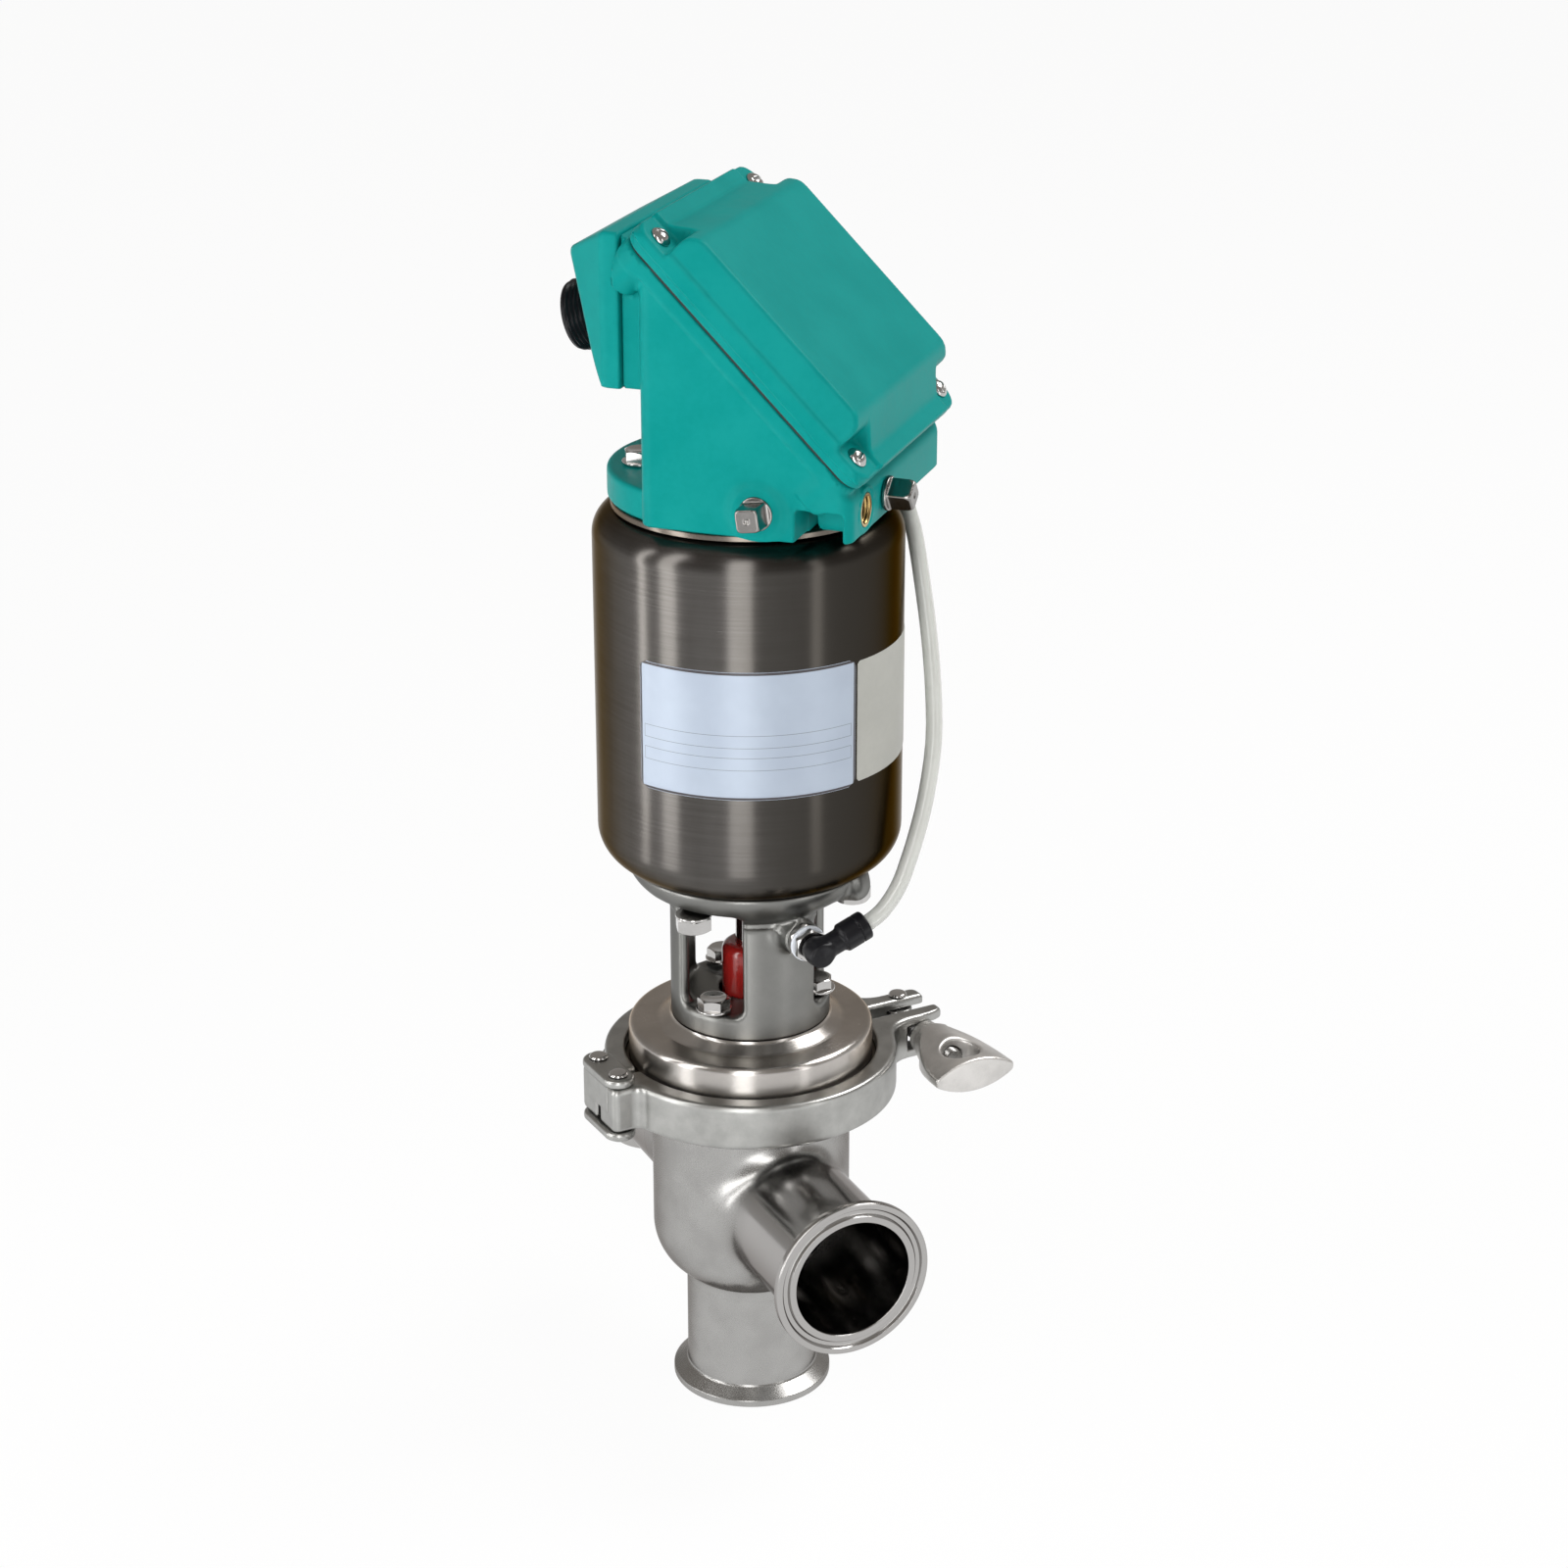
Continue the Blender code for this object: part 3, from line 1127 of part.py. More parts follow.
def make_housing(head, lid):
    """Cast housing: side outline pushed across, hollowed, with bosses for screws and ports."""
    under_lip = lip_thickness / 2 / cos(slope)
    front_top = slope_middle_z - (housing_front - slope_middle_u) - under_lip
    rear_top = slope_middle_z - (housing_rear - slope_middle_u) - under_lip
    skirt = head_base + skirt_rise
    outline = [
        (housing_rear, head_base), (notch_rear, head_base), (notch_rear, head_base + notch_rise),
        (housing_front - skirt_thickness, head_base + notch_rise), (housing_front - skirt_thickness, skirt),
        (housing_front, skirt), (housing_front, front_top), (housing_rear, rear_top),
    ]
    half = housing_half_width
    housing = prism("head_housing", outline, -half - 1.0 * mm, half + 1.0 * mm, head, axis="y")
    plan = rounded([(housing_rear, -half, rear_corner), (housing_front, -half, front_corner),
                    (housing_front, half, front_corner), (housing_rear, half, rear_corner)])
    combine(housing, prism("housing plan", plan, head_base - 1.0 * mm, rear_top + 1.0 * mm, head),
            "INTERSECT")
    disc = [(0.0, head_base), (disc_radius, head_base), (disc_radius, head_base + disc_thickness - 1.5 * mm),
            (disc_radius - 1.5 * mm, head_base + disc_thickness), (0.0, head_base + disc_thickness)]
    join(housing, turned("head disc", disc, head))
    lip_outline = rounded_box(cover_half_length - cover_gasket_inset, cover_half_width - cover_gasket_inset,
                              cover_corner)
    join(housing, prism("gasket lip", lip_outline, -lip_thickness, 0.0, lid))
    foot = [(box_seam - 1.0 * mm, box_bottom), (housing_rear + housing_wall / 2, box_bottom),
            (housing_rear + housing_wall / 2, rear_top - housing_wall / 2),
            (box_seam - 1.0 * mm, box_top - 3.0 * mm)]
    box = prism("terminal box base", foot, -box_half_width + 2.0 * mm, box_half_width - 2.0 * mm, head,
                axis="y")
    join(housing, box)
    wall = housing_wall
    floor = head_base + housing_floor
    step = head_base + notch_rise + wall
    mouth = 6.0 * mm
    rear_limit = -cover_half_length + recess_length - 1.0 * mm
    rear_u, rear_z = on_slope(rear_limit, mouth)
    inner_rear = housing_rear + wall
    front_limit_u, front_limit_z = on_slope(cover_half_length - 9.0 * mm, mouth)
    cavity = [
        (inner_rear, floor), (notch_rear - wall, floor), (notch_rear - wall, step),
        (front_limit_u - mouth, step), (front_limit_u, front_limit_z), (rear_u, rear_z),
        (inner_rear, rear_z - (rear_u - inner_rear)),
    ]
    cut(housing, prism("head space", cavity, -half + wall, half - wall, head, axis="y"))
    for number, (along, across) in enumerate(screw_places(), 1):
        boss = rod(f"screw boss {number}", screw_boss_radius, (along, across, -lip_thickness / 2),
                   (along, across, -screw_boss_depth), lid, steps=16)
        join(housing, boss)
    seat = block("terminal box seat", (box_seam - 20.0 * mm, -half - 5.0 * mm, box_bottom - 5.0 * mm),
                 (box_seam, half + 5.0 * mm, box_top + 5.0 * mm), head)
    cut(housing, seat)
    side_z = head_base + side_plug_rise
    front_z = head_base + front_port_rise
    join(housing, rod("side plug boss", plug_boss_radius, (side_plug_u, -half + 1.0 * mm, side_z),
                      (side_plug_u, -half + plug_thread_depth + 4.0 * mm, side_z), head, steps=16))
    for name, v, proud in (("port boss", port_hole_v, port_boss_proud),
                           ("front plug boss", front_plug_v, -1.0 * mm)):
        join(housing, rod(name, plug_boss_radius, (housing_front + proud, v, front_z),
                          (housing_front - port_boss_length, v, front_z), head, steps=16))
    for number, (along, across) in enumerate(screw_places(), 1):
        cut(housing, rod(f"screw thread {number}", screw_radius + gap, (along, across, gap),
                         (along, across, -screw_depth - gap), lid))
    cut(housing, rod("stem hole", stem_radius + 2.0 * mm, (0, 0, head_base - gap),
                     (0, 0, floor + gap), head, steps=16))
    cut(housing, rod("side plug thread", plug_thread_radius + gap, (side_plug_u, -half - gap, side_z),
                     (side_plug_u, -half + plug_thread_depth + gap, side_z), head))
    cut(housing, rod("front plug thread", plug_thread_radius + gap,
                     (housing_front + gap, front_plug_v, front_z),
                     (housing_front - plug_thread_depth - gap, front_plug_v, front_z), head))
    cut(housing, rod("port thread", port_hole_radius,
                     (housing_front + port_boss_proud + gap, port_hole_v, front_z),
                     (housing_front - port_hole_depth, port_hole_v, front_z), head, steps=16))
    for sign in (-1, 1):
        cut(housing, rod(f"head bolt hole {sign}", yoke_bolt_radius + gap,
                         (head_bolt_u, sign * head_bolt_v, head_base - gap),
                         (head_bolt_u, sign * head_bolt_v, head_base + disc_thickness + gap), head))
    finish(housing, "green paint")
    for number, sign in enumerate((-1, 1), 1):
        make_bolt(f"head_bolt_{number}", head_bolt_u, sign * head_bolt_v, head_base + disc_thickness + gap, 1,
                  yoke_bolt_flats, yoke_bolt_head, yoke_bolt_radius, disc_thickness - gap, head)


def screw_places():
    reach = cover_half_length - screw_inset
    side = cover_half_width - screw_inset
    return [(along, across) for along in (-reach + 1.0 * mm, reach - 1.0 * mm) for across in (-side, side)]


def rounded_box(half_a, half_b, radius):
    return rounded([(-half_a, -half_b, radius), (half_a, -half_b, radius),
                    (half_a, half_b, radius), (-half_a, half_b, radius)])


def make_cover(lid):
    """Lid set out on the sloping plane: flange with round ears, raised dome, corner recesses."""
    low = gap
    gasket = prism("cover_gasket", rounded_box(cover_half_length - cover_gasket_inset,
                                               cover_half_width - cover_gasket_inset, cover_corner),
                   low, low + cover_gasket_thickness, lid)
    band = cover_gasket_inset + cover_gasket_band
    opening = prism("gasket opening",
                    rounded_box(cover_half_length - band, cover_half_width - band, 4.0 * mm),
                    0.0, low + cover_gasket_thickness + gap, lid)
    cut(gasket, opening)
    seat = low + cover_gasket_thickness + gap
    flange_top = seat + cover_flange
    dome_top = flange_top + dome_rise
    cover = prism("head_cover", rounded_box(cover_half_length, cover_half_width, cover_corner), seat,
                  flange_top, lid)
    bevel(cover, 1.2 * mm, segments=2, angle=60)
    dome = loft("cover dome", (dome_half_length_low, cover_half_width - 0.3 * mm),
                (dome_half_length_top, cover_half_width - dome_draft), flange_top - 1.5 * mm, dome_top, lid)
    bevel(dome, dome_edge, segments=3, angle=20)
    join(cover, dome)
    floor = flange_top - recess_floor
    for number, (along, across) in enumerate(screw_places(), 1):
        sign_a = 1 if along > 0 else -1
        sign_b = 1 if across > 0 else -1
        near = (sign_a * (cover_half_length - recess_length), sign_b * (cover_half_width - recess_width))
        far = (sign_a * (cover_half_length + 5.0 * mm), sign_b * (cover_half_width + 5.0 * mm))
        recess = block(f"screw recess {number}", (min(near[0], far[0]), min(near[1], far[1]), floor),
                       (max(near[0], far[0]), max(near[1], far[1]), dome_top + 2.0 * mm), lid)
        cut(cover, recess)
    space = loft("cover space", (cover_cavity_half_length, cover_half_width - cover_wall - 1.0 * mm),
                 (cover_cavity_half_length - 5.0 * mm, cover_half_width - cover_wall - dome_draft),
                 seat - gap, dome_top - cover_wall, lid)
    cut(cover, space)
    for number, (along, across) in enumerate(screw_places(), 1):
        cut(gasket, rod(f"gasket hole {number}", screw_radius + gap, (along, across, 0.0),
                        (along, across, seat), lid))
        cut(cover, rod(f"cover hole {number}", screw_radius + gap, (along, across, seat - gap),
                       (along, across, floor + gap), lid))
    finish(gasket, "black rubber")
    finish(cover, "green paint")
    for number, (along, across) in enumerate(screw_places(), 1):
        head_low = floor + gap
        profile = [(0.0, -screw_depth), (screw_radius, -screw_depth), (screw_radius, head_low),
                   (screw_head_radius, head_low)]
        profile += [(screw_head_radius * cos(radians(a)),
                     head_low + 0.6 * mm + (screw_head_height - 0.6 * mm) * sin(radians(a)))
                    for a in (0, 30, 60)]
        profile += [(0.0, head_low + screw_head_height)]
        screw = turned(f"cover_screw_{number}", profile, lid, steps=round_small)
        screw.location = (along, across, 0.0)
        finish(screw, "bright steel")


def make_plugs(head):
    """Square-headed pipe plugs with a round collar."""
    side_z = head_base + side_plug_rise
    front_z = head_base + front_port_rise
    places = (
        ("side_plug", Vector((side_plug_u, -housing_half_width, side_z)), Vector((0, -1, 0))),
        ("front_plug", Vector((housing_front, front_plug_v, front_z)), Vector((1, 0, 0))),
    )
    for name, face, out in places:
        collar_end = face + out * (gap + plug_collar_thickness)
        plug = rod(name, plug_collar_radius, face + out * gap, collar_end, head, steps=16)
        join(plug, rod(name + " thread", plug_thread_radius, face - out * plug_thread_depth,
                       face + out * 1.0 * mm, head))
        square = rod(name + " head", plug_head_width / sqrt(2.0), collar_end - out * 0.5 * mm,
                     collar_end + out * plug_head_length, head, steps=4, sides_flat=True)
        bevel(square, 0.7 * mm, segments=1, angle=60)
        join(plug, square)
        finish(plug, "bright steel")


def make_terminal_box(head):
    """Lid of the terminal box: a wedge, deeper at the top, with its upright edges cut off."""
    seam = box_seam - gap
    outline = [
        (seam, box_bottom), (seam - box_foot_depth, box_bottom),
        (seam - box_back_low, box_bottom + box_foot_rise),
        (seam - box_back_high, box_back_top), (seam - box_back_high + 2.5 * mm, box_top - 1.0 * mm),
        (seam, box_top + 1.5 * mm),
    ]
    half = box_half_width
    bm = bmesh.new()
    face = bm.faces.new([bm.verts.new((u, -half, z)) for u, z in outline])
    pushed = bmesh.ops.extrude_face_region(bm, geom=[face])
    moved = [item for item in pushed["geom"] if isinstance(item, bmesh.types.BMVert)]
    bmesh.ops.translate(bm, verts=moved, vec=(0.0, 2 * half, 0.0))
    bm.edges.ensure_lookup_table()
    upright = [edge for edge in bm.edges
               if abs(edge.verts[0].co.y - edge.verts[1].co.y) < 1e-7
               and min(vert.co.x for vert in edge.verts) < seam - box_back_high + 1e-7
               and abs(edge.verts[0].co.z - edge.verts[1].co.z) > 20.0 * mm]
    bmesh.ops.bevel(bm, geom=upright, offset=box_chamfer, segments=1, affect="EDGES", profile=0.5)
    lid = add("terminal_box_cover", bm, head)
    inside = [
        (seam + gap, box_bottom + box_wall), (seam - box_foot_depth + box_wall, box_bottom + box_wall),
        (seam - box_back_high + box_wall + 4.0 * mm, box_top - 2 * box_wall),
        (seam + gap, box_top - box_wall),
    ]
    cut(lid, prism("terminal box space", inside, -half + 3 * box_wall, half - 3 * box_wall, head, axis="y"))
    lean = atan2(box_back_high - box_back_low, box_back_top - box_bottom - box_foot_rise)
    out = Vector((-cos(lean), 0.0, -sin(lean)))
    rise = (conduit_z - box_bottom - box_foot_rise) / (box_back_top - box_bottom - box_foot_rise)
    face_u = seam - box_back_low - (box_back_high - box_back_low) * rise
    place = Vector((face_u, conduit_v, conduit_z))
    cut(lid, rod("conduit opening", conduit_bore, place - out * 14.0 * mm, place + out * 3.0 * mm, head,
                 steps=16))
    finish(lid, "green paint")
    fitting = rod("conduit_fitting", conduit_radius, place + out * gap, place + out * conduit_length, head,
                  steps=round_mid)
    cut(fitting, rod("conduit bore", conduit_bore, place, place + out * (conduit_length + gap), head,
                     steps=16))
    finish(fitting, "black plastic")


def make_head_inside(head):
    """Position switches, pilot valve and terminals, simple pieces on the housing's floor."""
    floor = head_base + housing_floor + gap
    rear = housing_rear + housing_wall + 3.0 * mm
    foot = 10.0 * mm
    bracket = [
        (bracket_v - foot, floor), (bracket_v + bracket_thickness, floor),
        (bracket_v + bracket_thickness, floor + bracket_height), (bracket_v, floor + bracket_height),
        (bracket_v, floor + bracket_thickness), (bracket_v - foot, floor + bracket_thickness),
    ]
    finish(prism("switch_bracket", bracket, rear, rear + bracket_length, head, axis="x"), "steel",
           smooth=False)
    for number in range(2):
        low = floor + switch_low_rise + number * switch_spacing - switch_height / 2
        name = ("switch_lower", "switch_upper")[number]
        case = block(name, (rear + 2.0 * mm, bracket_v - gap - switch_thickness, low),
                     (rear + 2.0 * mm + switch_length, bracket_v - gap, low + switch_height), head)
        bevel(case, 0.8 * mm, segments=1)
        finish(case, "black plastic")
    coil = rod("pilot_valve", solenoid_radius, (rear + solenoid_radius, solenoid_v, floor),
               (rear + solenoid_radius, solenoid_v, floor + solenoid_length), head, steps=16)
    foot_block = block("pilot valve foot", (rear, solenoid_v - 10.0 * mm, floor),
                       (rear + 2.4 * solenoid_radius, solenoid_v + 10.0 * mm, floor + 8.0 * mm), head)
    join(coil, foot_block)
    finish(coil, "black plastic")
    low = box_bottom + terminal_rise
    strip = block("terminal_strip", (box_seam - gap - terminal_depth, -terminal_length / 2, low),
                  (box_seam - gap, terminal_length / 2, low + terminal_height), head)
    for number in range(6):
        v = -terminal_length / 2 + terminal_length * (number + 0.5) / 6
        cut(strip, block(f"terminal slot {number}",
                         (box_seam - 2 * terminal_depth, v - 2.5 * mm, low + 4.0 * mm),
                         (box_seam - gap - terminal_depth / 2, v + 2.5 * mm, low + 2 * terminal_height),
                         head))
    finish(strip, "grey plastic", smooth=False)


def main():
    clear_scene()
    base = frame("valve_axis", (axis_x, axis_y, 0.0))
    make_body(base)
    make_seat_joint(base)
    make_bonnet(base)
    make_clamp(base)
    make_yoke(base)
    make_cylinder(base)
    make_stem_train(base)
    make_spring(base)
    head = make_head(base)
    make_air_line(base, head)


main()
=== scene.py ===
from math import atan, atan2, cos, hypot, pi, radians, sin, sqrt, tan

import bmesh
import bpy
import numpy as np
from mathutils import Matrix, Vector


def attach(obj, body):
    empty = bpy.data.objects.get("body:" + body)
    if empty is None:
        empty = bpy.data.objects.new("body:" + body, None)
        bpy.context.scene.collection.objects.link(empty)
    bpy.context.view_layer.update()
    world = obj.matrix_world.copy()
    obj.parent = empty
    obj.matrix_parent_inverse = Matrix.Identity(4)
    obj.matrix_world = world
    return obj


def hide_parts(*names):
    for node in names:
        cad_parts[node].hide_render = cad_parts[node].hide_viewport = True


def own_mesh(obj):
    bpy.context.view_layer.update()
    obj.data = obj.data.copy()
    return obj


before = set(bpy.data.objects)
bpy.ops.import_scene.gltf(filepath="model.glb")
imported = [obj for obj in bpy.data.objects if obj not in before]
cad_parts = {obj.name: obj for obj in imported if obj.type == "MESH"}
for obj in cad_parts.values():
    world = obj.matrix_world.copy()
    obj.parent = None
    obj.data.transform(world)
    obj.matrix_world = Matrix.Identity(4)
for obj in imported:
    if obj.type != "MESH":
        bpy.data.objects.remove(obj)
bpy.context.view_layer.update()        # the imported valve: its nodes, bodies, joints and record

mm = 0.001
axisX = -12.16           # the valve's axis stands here in the frame, in mm; every length below is in mm from it

print("camera")
view = {"place": (-505.3, -1109.9, 751.2), "look": (0.3934, 0.8398, -0.3741), "lens": 78.4}
camera = bpy.data.objects.new("camera", bpy.data.cameras.new("camera"))
camera.location = ((view["place"][0] + axisX) * mm, view["place"][1] * mm, view["place"][2] * mm)
camera.rotation_euler = Vector(view["look"]).to_track_quat("-Z", "Y").to_euler()
camera.data.lens = view["lens"]
camera.data.sensor_width = 36.0
camera.data.clip_end = 50.0
bpy.context.scene.collection.objects.link(camera)
bpy.context.scene.camera = camera
bpy.context.scene.view_settings.view_transform = "Standard"


class Wire:
    # a node's output that can be added, subtracted and multiplied like a number
    def __init__(self, finish, socket):
        self.finish, self.socket = finish, socket

    def math(self, operation, *values):
        return self.finish.node("ShaderNodeMath", {"operation": operation}, values)

    def __add__(self, other): return self.math("ADD", self, other)
    def __radd__(self, other): return self.math("ADD", other, self)
    def __sub__(self, other): return self.math("SUBTRACT", self, other)
    def __rsub__(self, other): return self.math("SUBTRACT", other, self)
    def __mul__(self, other): return self.math("MULTIPLY", self, other)
    def __rmul__(self, other): return self.math("MULTIPLY", other, self)
    def __abs__(self): return self.math("ABSOLUTE", self)

    def between(self, low, high):
        # smooth step from 0 at low to 1 at high
        return self.finish.node("ShaderNodeMapRange", {"interpolation_type": "SMOOTHSTEP"},
                                {"Value": self, "From Min": low, "From Max": high})


class Finish:
    # one material; node() adds a node, its settings first, then the values or links of its sockets
    def __init__(self, name, tree=None):
        if tree is None:
            self.material = bpy.data.materials.new(name)
            self.material.use_nodes = True
            tree = self.material.node_tree
        self.tree = tree
        self.shader = tree.nodes.get("Principled BSDF")
        self.coords = None

    def node(self, kind, settings=None, inputs=(), output=0):
        made = self.tree.nodes.new(kind)
        for key, value in (settings or {}).items():
            setattr(made, key, value)
        pairs = inputs.items() if isinstance(inputs, dict) else enumerate(inputs)
        for key, value in pairs:
            self.set(made.inputs[key], value)
        return Wire(self, made.outputs[output])

    def set(self, socket, value):
        if isinstance(value, Wire):
            self.tree.links.new(value.socket, socket)
        elif socket.type == "RGBA" and len(value) == 3:
            socket.default_value = (*value, 1.0)
        else:
            socket.default_value = value

    def place(self, stretch=(1.0, 1.0, 1.0)):
        # object coordinates in mm from the valve's axis, stretched along x, y and z
        if self.coords is None:
            raw = self.node("ShaderNodeTexCoord", output="Object")
            self.coords = self.node("ShaderNodeMapping", {}, {"Vector": raw, "Location": (-axisX, 0.0, 0.0),
                                                               "Scale": (1000.0, 1000.0, 1000.0)})
        if stretch == (1.0, 1.0, 1.0):
            return self.coords
        return self.node("ShaderNodeVectorMath", {"operation": "MULTIPLY"}, (self.coords, stretch))

    def noise(self, size, stretch=(1.0, 1.0, 1.0), detail=3.0):
        # grain whose patches are about `size` mm across
        return self.node("ShaderNodeTexNoise", {}, {"Vector": self.place(stretch), "Scale": 1.0 / size,
                                                    "Detail": detail, "Roughness": 0.55, "Distortion": 0.0})

    def axes(self):
        split = self.tree.nodes.new("ShaderNodeSeparateXYZ")
        self.set(split.inputs[0], self.place())
        return [Wire(self, output) for output in split.outputs]

    def mix(self, factor, first, second):
        made = self.node("ShaderNodeMix", {"data_type": "RGBA"}, output=2)
        node = made.socket.node
        self.set(node.inputs[0], factor)
        self.set(node.inputs[6], first)
        self.set(node.inputs[7], second)
        return made

    def bump(self, height, strength, distance):
        return self.node("ShaderNodeBump", {}, {"Height": height, "Strength": strength, "Distance": distance * mm})

    def put(self, **values):
        for key, value in values.items():
            self.set(self.shader.inputs[key.replace("_", " ")], value)
        return self.material


def placed(points):
    return (np.asarray(points, float) + (axisX, 0.0, 0.0)) * mm


def turnFrame(angle):
    # axes of a frame turned by angle about the valve's axis, as the columns of a matrix
    c, s = cos(radians(angle)), sin(radians(angle))
    return np.array([[c, -s, 0.0], [s, c, 0.0], [0.0, 0.0, 1.0]])


def frameFor(way, origin=(0.0, 0.0, 0.0)):
    # matrix whose third column is the given direction, with its origin
    w = np.array(way, float) / np.linalg.norm(way)
    side = np.cross((0.0, 0.0, 1.0) if abs(w[2]) < 0.9 else (1.0, 0.0, 0.0), w)
    side /= np.linalg.norm(side)
    return np.column_stack([side, np.cross(w, side), w]), np.array(origin, float)


def makePiece(name, points, faces, look, body="valve", stands=(), slot=None, sharp=35, normals=None):
    mesh = bpy.data.meshes.new(name)
    mesh.from_pydata(placed(points), [], faces)
    work = bmesh.new()
    work.from_mesh(mesh)
    if normals is None:
        bmesh.ops.remove_doubles(work, verts=work.verts, dist=2e-6)
        bmesh.ops.recalc_face_normals(work, faces=work.faces)
    work.to_mesh(mesh)
    work.free()
    mesh.polygons.foreach_set("use_smooth", np.ones(len(mesh.polygons), bool))
    if normals is None:
        mesh.set_sharp_from_angle(angle=radians(sharp))
    else:
        mesh.normals_split_custom_set_from_vertices(normals)
    mesh.materials.append(finishes[look])
    piece = bpy.data.objects.new(name, mesh)
    bpy.context.scene.collection.objects.link(piece)
    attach(piece, body)
    if stands:
        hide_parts(*stands)
    return piece


def gridFaces(rows, columns, closeRows=False, closeColumns=True):
    # quads of a grid of points numbered row by row
    i = np.arange(rows if closeRows else rows - 1)[:, None]
    j = np.arange(columns if closeColumns else columns - 1)[None, :]
    a, b = i * columns, (i + 1) % rows * columns
    k = (j + 1) % columns
    return np.stack([a + j, a + k, b + k, b + j], -1).reshape(-1, 4)


def turned(profile, steps=128, frameAt=None):
    # (r, h) -> (r cos t, r sin t, h) for t all the way round; the profile is a closed loop or ends on the axis
    profile = np.asarray(profile, float)
    t = np.linspace(0.0, 2 * pi, steps, endpoint=False)
    r, h = profile[:, :1], profile[:, 1:]
    points = np.stack([r * np.cos(t), r * np.sin(t), h + 0 * t], -1).reshape(-1, 3)
    closed = profile[0, 0] > 1e-9 or profile[-1, 0] > 1e-9
    faces = gridFaces(len(profile), steps, closeRows=closed)
    if frameAt is not None:
        points = points @ frameAt[0].T + frameAt[1]
    return points, trimmed(points, faces)


def trimmed(points, faces):
    # on the axis two corners of a quad fall together: such a quad becomes a triangle
    kept = []
    near = np.round(points, 6)
    for face in faces.tolist():
        ring = [a for n, a in enumerate(face) if tuple(near[a]) != tuple(near[face[n - 1]])]
        if len(ring) > 2:
            kept.append(ring)
    return kept


def bend(*corners, steps=6):
    # an open profile whose inner corners (r, h, radius) are rounded by arcs
    points = [corners[0][:2]]
    for last, here, after in zip(corners, corners[1:], corners[2:]):
        radius = here[2] if len(here) > 2 else 0.0
        here2 = np.array(here[:2], float)
        if radius <= 0:
            points.append(tuple(here2))
            continue
        a = np.array(last[:2]) - here2
        b = np.array(after[:2]) - here2
        a, b = a / np.linalg.norm(a), b / np.linalg.norm(b)
        half = np.arccos(np.clip(a @ b, -1, 1)) / 2
        reach = radius / tan(half)
        t = np.linspace(0.0, 1.0, steps + 1)
        centre = here2 + (a + b) / np.linalg.norm(a + b) * radius / sin(half)
        first, final = here2 + a * reach - centre, here2 + b * reach - centre
        sweep = pi - 2 * half
        mixed = (np.sin((1 - t) * sweep)[:, None] * first + np.sin(t * sweep)[:, None] * final) / sin(sweep)
        points += [tuple(p) for p in centre + mixed]
    points.append(corners[-1][:2])
    return points


def threaded(radius, depth, pitch, low, high, inner, steps=48, perPitch=10, frameAt=None):
    # r = radius - depth |2 frac(h/pitch - t/2pi) - 1| along a helix, run out at both ends; closed by the radius inner
    count = int((high - low) / pitch * perPitch) + 2
    h = np.linspace(low, high, count)[:, None]
    t = np.linspace(0.0, 2 * pi, steps, endpoint=False)[None, :]
    phase = np.mod((h - low) / pitch - t / (2 * pi), 1.0)
    fade = np.clip(np.minimum(h - low, high - h) / pitch, 0.0, 1.0)
    r = radius - depth * (1.0 - fade * (1.0 - np.abs(2 * phase - 1.0)))
    rings = [np.stack([r * np.cos(t), r * np.sin(t), h + 0 * t], -1).reshape(-1, 3)]
    tt = t[0]
    for end in (high, low):
        rings.append(np.stack([inner * np.cos(tt), inner * np.sin(tt), 0 * tt + end], -1))
    points = np.concatenate(rings)
    faces = gridFaces(count + 2, steps, closeRows=True)
    if frameAt is not None:
        points = points @ frameAt[0].T + frameAt[1]
    return points, faces.tolist() if inner > 0 else trimmed(points, faces)


def merge(a, b, k):
    # union with a fillet: min(a, b) - h^2 k/4, h = max(k - |a - b|, 0)/k
    h = np.maximum(k - np.abs(a - b), 0.0) / k
    return np.minimum(a, b) - h * h * k / 4


def meet(a, b, k):
    return -merge(-a, -b, k)


def carve(a, b, k):
    return -merge(-a, b, k)


def boxField(x, y, z, low, high, r=0.0):
    # distance to a box with its edges rounded by r
    q = [np.abs(c - (a + b) / 2) - (b - a) / 2 + r for c, a, b in zip((x, y, z), low, high)]
    out = np.sqrt(sum(np.maximum(c, 0.0) ** 2 for c in q))
    return out + np.minimum(np.maximum(np.maximum(q[0], q[1]), q[2]), 0.0) - r


def rodField(a, b, c, radius, low, high, r=0.0):
    # distance to a round bar along c, with its rims rounded by r
    p = np.hypot(a, b) - radius + r
    q = np.abs(c - (low + high) / 2) - (high - low) / 2 + r
    return np.hypot(np.maximum(p, 0.0), np.maximum(q, 0.0)) + np.minimum(np.maximum(p, q), 0.0) - r


